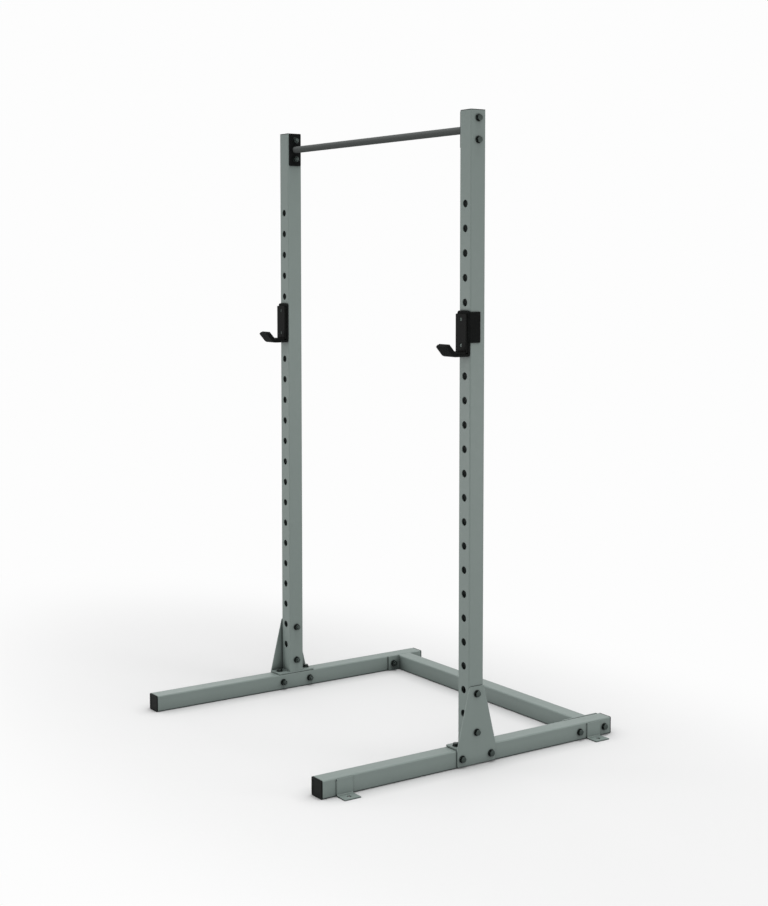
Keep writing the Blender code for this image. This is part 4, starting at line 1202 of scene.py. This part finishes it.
def thread(name, top, bottom, sides=24):
    """Threaded shank from one height down to a chamfered tip."""
    shape = bmesh.new()
    rings = []
    count = max(2, round((top - bottom) / (THREAD_PITCH / RINGS_PER_PITCH)))
    for i in range(count + 1):
        height = top - (top - bottom) * i / count
        near_tip = max(0.0, TIP - (height - bottom))
        ring = []
        for k, (x, y) in enumerate(circle(1, sides)):
            phase = (height / THREAD_PITCH - k / sides) % 1.0
            groove = THREAD_DEPTH * (1 - abs(2 * phase - 1))
            radius = BOLT_RADIUS - max(groove, near_tip)
            ring.append(shape.verts.new((radius * x, radius * y, height)))
        rings.append(ring)
    bridge(shape, rings)
    shape.faces.new(rings[0])
    shape.faces.new(rings[-1])
    return mesh_from(shape, name)


print("thread:", round(THREAD_DEPTH / MM, 2), "mm deep, pitch", round(THREAD_PITCH / MM, 2), "mm")

# %% [markdown]
# A bolt is its head, its washer, a plain shank and a thread; a nut is a hexagon and a washer with a bore
# that is countersunk on its free side. They could be joined by Booleans, but closed parts that meet face to
# face keep clean edges, and only the nut's bore has to be cut.

# %% Bolts and nuts
THREAD_LENGTH = 12 * MM
BORE = BOLT_RADIUS + 0.15 * MM
BORE_FLARE = 0.9 * MM


def bolt_form(name, reach):
    """Bolt seated on Z 0 whose shank runs down by its reach; its last part is threaded."""
    shank_end = min(reach, THREAD_LENGTH) - reach
    parts = [bolt_head, WASHER_FORM, thread(name + "_thread", shank_end, -reach)]
    if shank_end < 0:
        parts.append(lathe(name + "_shank", [
            (0, shank_end), (BOLT_RADIUS, shank_end), (BOLT_RADIUS, WASHER), (0, WASHER)], 24))
    return merged(name, [(part, Matrix.Identity(4)) for part in parts])


def nut_form(name):
    """Nut with its washer, standing on Z 0, with a countersunk bore."""
    top = WASHER + NUT
    bore = lathe("bore", [
        (0, -CLEAR), (BORE, -CLEAR), (BORE, top - BORE_FLARE), (BORE + BORE_FLARE + CLEAR, top + CLEAR),
        (0, top + CLEAR)], 32)
    parts = [hexagon(name + "_body", WASHER, top, True), WASHER_FORM]
    return merged(name, [(combined(part, bore, "DIFFERENCE"), Matrix.Identity(4)) for part in parts])


NUT_FORM = nut_form("nut")
print("nut:", len(NUT_FORM.polygons), "faces")

# %% [markdown]
# The rack is held by 20 bolts and 16 nuts. All heads are the same and only the reach differs, so bolts of
# one reach share a mesh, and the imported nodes' boxes say where each one sits. A mechanic never leaves the
# hexagons lined up, so each gets a small turn of its own; the turns come from its place in the list and not
# from chance, so that the picture is the same each time.

# %% Place the fasteners
TURN_STEP, HEX_TURN = 37, 60  # degrees
BOLT_FORMS = {}


def bolt_of(reach):
    """Mesh of a bolt of that reach, made when it is first asked for."""
    key = round(reach / MM * 10)
    if key not in BOLT_FORMS:
        BOLT_FORMS[key] = bolt_form(f"bolt_{key}", reach)
    return BOLT_FORMS[key]


def fastener(node, turn):
    """Replace a bolt or nut node by its fine form, turned by some degrees."""
    low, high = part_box(node)
    x, y, z = (low + high) / 2
    side = 1 if "_right_" in node else -1
    outside, inside = (high.x, low.x) if side > 0 else (low.x, high.x)
    if node.startswith("base_bolt"):
        seat = high.z - WASHER - HEAD
        mesh, axis, place = bolt_of(seat - low.z), "+z", (x, y, seat)
    elif "_nut_" in node:
        mesh, axis, place = NUT_FORM, "-x" if side > 0 else "+x", (outside, y, z)
    else:
        seat = outside - side * (WASHER + HEAD)
        mesh, axis, place = bolt_of(abs(seat - inside)), "+x" if side > 0 else "-x", (seat, y, z)
    spin = Matrix.Rotation(math.radians(turn), 4, "Z")
    show("fine_" + node, mesh, BLACK_ZINC, node, facing(axis, place) @ spin)


fastener_nodes = sorted(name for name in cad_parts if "_bolt_" in name or "_nut_" in name)
for i, node in enumerate(fastener_nodes):
    fastener(node, i * TURN_STEP % HEX_TURN)
print("fasteners:", len(fastener_nodes), "with bolts of", len(BOLT_FORMS), "lengths")

# %% [markdown]
# A cradle carries a load on a tray with a lip. It hangs on a pin in one of the upright's holes, a little in
# front of the tube's face. Its measures are all taken from that hole and that face, as a maker's drawing
# does, so the cradle fits wherever the hole is.

# %% Cradle measures
CUP = 8 * MM  # plate
BACK_BEND, LIP_BEND = 2 * MM, 12.3 * MM  # inside radii of the steel
FACE_Y = -TUBE / 2
PLATE_Y = FACE_Y - SEAT - CUP / 2
PIN_Z = TOP_HOLE - 5 * HOLE_PITCH  # the sixth hole from the top
TRAY_DROP, HOOK_RISE = 91 * MM, 54 * MM  # from the pin down to the tray, and up to the hook's end
TRAY_REACH = 65 * MM  # from the upright's face to the lip's bend
LIP_RUN, LIP_RISE = 30 * MM, 34 * MM
TRAY_Z = PIN_Z - TRAY_DROP
LIP_ROOT = Vector((FACE_Y - TRAY_REACH, TRAY_Z))
LIP_TIP = Vector((FACE_Y - TRAY_REACH - LIP_RUN, TRAY_Z + LIP_RISE))
HOOK_TOP = PIN_Z + HOOK_RISE
print("pin hole at", round(PIN_Z / MM), "mm, lip", round((LIP_TIP - LIP_ROOT).length / MM), "mm long")

# %% [markdown]
# The ends of a cradle's plate have rounded corners, seen from the front, while its bends are seen from the
# side, so no single outline can hold both. The corners could be rounded point by point, but a small block
# with a hollow side, set at each corner, trims them as a shear with a shaped blade does.

# %% Trimming blocks
CUP_CORNER = 10 * MM
TRIM_OVER = 3 * MM  # how far a trimming block stands past the plate
ARC_STEPS = 8


def corner_trim(side):
    """Block with a round hollow that turns a square corner into a rounded one."""
    turns = [math.pi / 2 * i / ARC_STEPS for i in range(ARC_STEPS + 1)]
    arc = [(-side * (CUP_CORNER - CUP_CORNER * math.sin(t)), -CUP_CORNER + CUP_CORNER * math.cos(t))
           for t in turns]
    outline = arc + [(side * TRIM_OVER, -CUP_CORNER), (side * TRIM_OVER, TRIM_OVER),
                     (-side * CUP_CORNER, TRIM_OVER)]
    return extrusion("trim", outline[::-side], 3 * CUP)


def frame_at(end, along, x):
    """Matrix whose origin is the end of a plate, Y along the plate and Z through it."""
    run = Vector((0, along.x, along.y))
    through = Vector((1, 0, 0)).cross(run)
    turn = Matrix((Vector((1, 0, 0)), run, through)).transposed().to_4x4()
    return at(x, end.x, end.y) @ turn


top_end = Vector((PLATE_Y, HOOK_TOP))
ends = ((top_end, Vector((0, 1))), (LIP_TIP, (LIP_TIP - LIP_ROOT).normalized()))
trims = []
for end, along in ends:
    trims += [(corner_trim(side), frame_at(end, along, side * TUBE / 2)) for side in (-1, 1)]
print("trimming blocks:", len(trims))

# %% [markdown]
# The hook is 8 mm plate, bent twice: down along the upright, out as a tray and up again as a lip. Its strip
# is cut by the four trimming blocks. A Bevel modifier then dresses every sharp edge as a grinder does; here
# it suits better than drawn rims, because the trimmed corners need the same radius.

# %% Cradle hook
def softened(mesh, width, segments=3, angle=38):
    """The mesh with its sharp edges rounded."""
    body = put("body", mesh)
    step = body.modifiers.new("edges", "BEVEL")
    step.width = width
    step.segments = segments
    step.limit_method = "ANGLE"
    step.angle_limit = math.radians(angle)
    step.use_clamp_overlap = True
    return applied(body)


hook_path = [top_end, (PLATE_Y, TRAY_Z), LIP_ROOT, LIP_TIP]
strip = extrusion("hook", bent_strip(hook_path, [BACK_BEND, LIP_BEND], CUP, 10), TUBE)
strip.transform(IN_YZ)
HOOK = softened(combined(strip, merged("trims", trims), "DIFFERENCE"), 0.9 * MM)
print("hook faces:", len(HOOK.polygons))

# %% [markdown]
# The pin is turned from round bar, with a rounded nose that finds the hole, and welded into the plate. A
# cylinder with a bevel would have a nose of one radius only, so it is a turned profile. It is left in black
# zinc, because the hole would scrape off a coat.

# %% Cradle pin
PIN_RADIUS = 12 * MM
PIN_NOSE = 2 * MM
pin_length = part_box("j_cup_hook_right")[1].y - PLATE_Y - CUP / 2
PIN = lathe("pin", [
    (0, -CUP / 2), (PIN_RADIUS, -CUP / 2), (PIN_RADIUS, pin_length - PIN_NOSE),
    (PIN_RADIUS - 0.3 * PIN_NOSE, pin_length - 0.4 * PIN_NOSE), (PIN_RADIUS - PIN_NOSE, pin_length),
    (0, pin_length)], 56)
print("pin:", round(pin_length / MM, 1), "mm long")

# %% [markdown]
# The side flange is an angle welded to the plate's outer edge. It goes round the outer side of the upright
# and keeps the cradle from turning on its pin. The function for bent plate would draw the bend, but it
# leaves the ends square, and a square end would scratch the upright as the cradle goes on. So the flange is
# an outline seen from above, with a radius of its own at each corner.

# %% Side flange and its weld
SIDE_FLANGE = 5 * MM
SIDE_FLANGE_HEIGHT = 100 * MM
SIDE_PLAY, SIDE_REACH = 0.5 * MM, 38 * MM  # off the upright, and along it
HALF_SEAM = 44 * MM
flange_root = TUBE / 2 - CUP
flange_inner = TUBE / 2 + SIDE_PLAY
flange_outer = flange_inner + SIDE_FLANGE
flange_rear = PLATE_Y + CUP / 2 + SIDE_REACH
flange_front, flange_back = PLATE_Y - SIDE_FLANGE / 2, PLATE_Y + SIDE_FLANGE / 2
flange_outline = rounded(
    [(flange_root, flange_front), (flange_outer, flange_front), (flange_outer, flange_rear),
     (flange_inner, flange_rear), (flange_inner, flange_back), (flange_root, flange_back)],
    [0.4 * MM, 5.5 * MM, 1.6 * MM, 1.6 * MM, 0.5 * MM, 0.4 * MM])
SIDE_FLANGE_MESH = extrusion("side_flange", flange_outline, SIDE_FLANGE_HEIGHT, rim=0.8 * MM)
flange_seam = [(TUBE / 2 + 0.2 * MM, flange_front - 0.4 * MM, PIN_Z + z) for z in (-HALF_SEAM, HALF_SEAM)]
FLANGE_WELD = weld_bead("flange_weld", flange_seam, 1.5 * MM, False, 6)
print("side flange:", len(SIDE_FLANGE_MESH.polygons), "faces, weld:", len(FLANGE_WELD.polygons))

# %% [markdown]
# The liners are wear pads that cover the steel wherever a load would rest. Each is held by countersunk
# socket screws, sunk below its surface so that nothing laid in the cradle touches metal. The socket could
# be a dark hexagon on the head, but a hollow catches the light on its far wall, so it is cut, and so is the
# seat in the liner, a little wider than the head.

# %% Liner screws
LINER = 8 * MM
SCREW_HEAD = 6 * MM  # radius
SCREW_SHANK = 3 * MM
SCREW_SINK = 1.2 * MM
SCREW_PLAY = 0.3 * MM
SOCKET = 2.3 * MM  # radius to a corner


def countersink(depth):
    """Tool that sinks a screw head into a liner whose face is at Z 0."""
    hole, seat = SCREW_SHANK + SCREW_PLAY, SCREW_HEAD + SCREW_PLAY
    return lathe("countersink", [
        (0, -depth), (hole, -depth), (hole, -SCREW_SINK - hole), (seat, -SCREW_SINK), (seat, CLEAR),
        (0, CLEAR)], 36)


def socket_screw():
    """Countersunk screw head with a hexagon socket, its face just under Z 0."""
    face = -SCREW_SINK
    head = lathe("screw", [
        (0, face - 4 * MM), (SCREW_SHANK, face - 4 * MM), (SCREW_SHANK, face - 3.2 * MM),
        (SCREW_HEAD, face - 0.4 * MM), (SCREW_HEAD, face - 0.15 * MM), (SCREW_HEAD - 0.2 * MM, face),
        (0, face)], 36)
    socket = extrusion("socket", circle(SOCKET, 6), 5 * MM)
    socket.transform(at(0, 0, face))
    return combined(head, socket, "DIFFERENCE")


SCREW = socket_screw()
SCREW_TOOL = countersink(LINER + CLEAR)
print("screw faces:", len(SCREW.polygons))

# %% [markdown]
# The back liner is a flat pad in front of the cradle's back plate, sawn from sheet and dressed round its
# rims. It could be a box with a Bevel modifier, but the extrusion rounds its rims anyway, and a broad one
# gives the softness of plastic. Its two screws sit one above the other on its middle line.

# %% Back liner
LINER_WIDTH = TUBE - 4 * MM
UPPER_SCREW, LOWER_SCREW = 18 * MM, 26 * MM  # from the liner's upper and lower end
back_low, back_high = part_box("j_cup_back_liner_right")
screw_heights = (back_high.z - UPPER_SCREW, back_low.z + LOWER_SCREW)
BACK_SCREWS = [facing("-y", (0, back_low.y, z)) for z in screw_heights]
back_outline = rectangle(LINER_WIDTH, back_high.z - back_low.z, 3 * MM)
back_pad = extrusion("back_liner", back_outline, LINER, rim=1.2 * MM, rim_steps=3)
back_pad.transform(at(0, (back_low.y + back_high.y) / 2, (back_low.z + back_high.z) / 2) @ IN_XZ)
BACK_LINER = drilled(back_pad, SCREW_TOOL, BACK_SCREWS)
print("back liner faces:", len(BACK_LINER.polygons))

# %% [markdown]
# The tray liner is a thick strip, warmed and bent over the tray and up the inside of the lip. It could be
# copied from the hook and moved, but an inner bend has a smaller radius than an outer one. So its middle
# line is offset from the steel's by half of both thicknesses, and its bend shares the steel's centre.

# %% Tray liner
LINER_SHORT = 5 * MM  # how far it stops below the lip's tip
SCREW_SHIFT = 6 * MM  # from the tray's middle towards the upright
tray_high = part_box("j_cup_tray_liner_right")[1]
tray_screw_y = (tray_high.y + (FACE_Y - TRAY_REACH)) / 2 + SCREW_SHIFT
TRAY_SCREWS = [facing("+z", (0, tray_screw_y, TRAY_Z + CUP / 2 + SEAT + LINER))]
off = CUP / 2 + SEAT + LINER / 2
inwards, up_lip = Vector((1, 0)), (LIP_TIP - LIP_ROOT).normalized()
corner = LIP_ROOT + (inwards + up_lip) * off / math.sin(inwards.angle(up_lip))
tip = LIP_TIP - up_lip * LINER_SHORT + Vector((up_lip.y, -up_lip.x)) * off
tray_strip = bent_strip([(tray_high.y, corner.y), corner, tip], [LIP_BEND - SEAT - LINER], LINER, 10)
tray_pad = extrusion("tray_liner", tray_strip, LINER_WIDTH)
tray_pad.transform(IN_YZ)
TRAY_LINER = drilled(softened(tray_pad, 1.1 * MM), SCREW_TOOL, TRAY_SCREWS)
print("tray liner faces:", len(TRAY_LINER.polygons))

# %% [markdown]
# The cradles are put together from these pieces, and every piece of a cradle rides on the body that the
# joint pulls out. Left and right are mirror images only in their side flange and its weld, so these two are
# baked with a mirror, because an object with a negative scale would turn its faces inside out on export.
# All else is shared. The pin and the screws keep their own finish.

# %% Put the cradles together
for side_name, side in SIDES:
    body = f"j_cup_{side_name}"
    middle = at(side * MIDDLE, 0, 0)
    mirror = middle @ Matrix.Diagonal((side, 1, 1, 1))
    show(f"hook_{side_name}", HOOK, BLACK_TEXTURE, f"j_cup_hook_{side_name}", middle, body)
    for name, mesh, place in (("side_flange", SIDE_FLANGE_MESH, mirror @ at(0, 0, PIN_Z)),
                              ("flange_weld", FLANGE_WELD, mirror)):
        whole_name = f"{name}_{side_name}"
        show(whole_name, merged(whole_name, [(mesh, place)]), BLACK_TEXTURE, body=body)
    pin_place = facing("+y", (side * MIDDLE, PLATE_Y + CUP / 2, PIN_Z))
    show(f"pin_{side_name}", PIN, BLACK_ZINC, None, pin_place, body)
    for name, mesh in (("back_liner", BACK_LINER), ("tray_liner", TRAY_LINER)):
        show(f"{name}_{side_name}", mesh, LINER_PLASTIC, f"j_cup_{name}_{side_name}", middle, body)
    for i, matrix in enumerate(BACK_SCREWS + TRAY_SCREWS):
        show(f"liner_screw_{side_name}_{i + 1}", SCREW, BLACK_ZINC, None, middle @ matrix, body)
    print("cradle:", side_name, "rides on", body)

# %% [markdown]
# Last, the number of pieces shown and of their faces is printed. The fine forms must not outgrow the solids,
# because those are what the rack collides with.

# %% Count the pieces and finish
print("pieces:", len(COUNTS), "faces:", sum(COUNTS.values()))
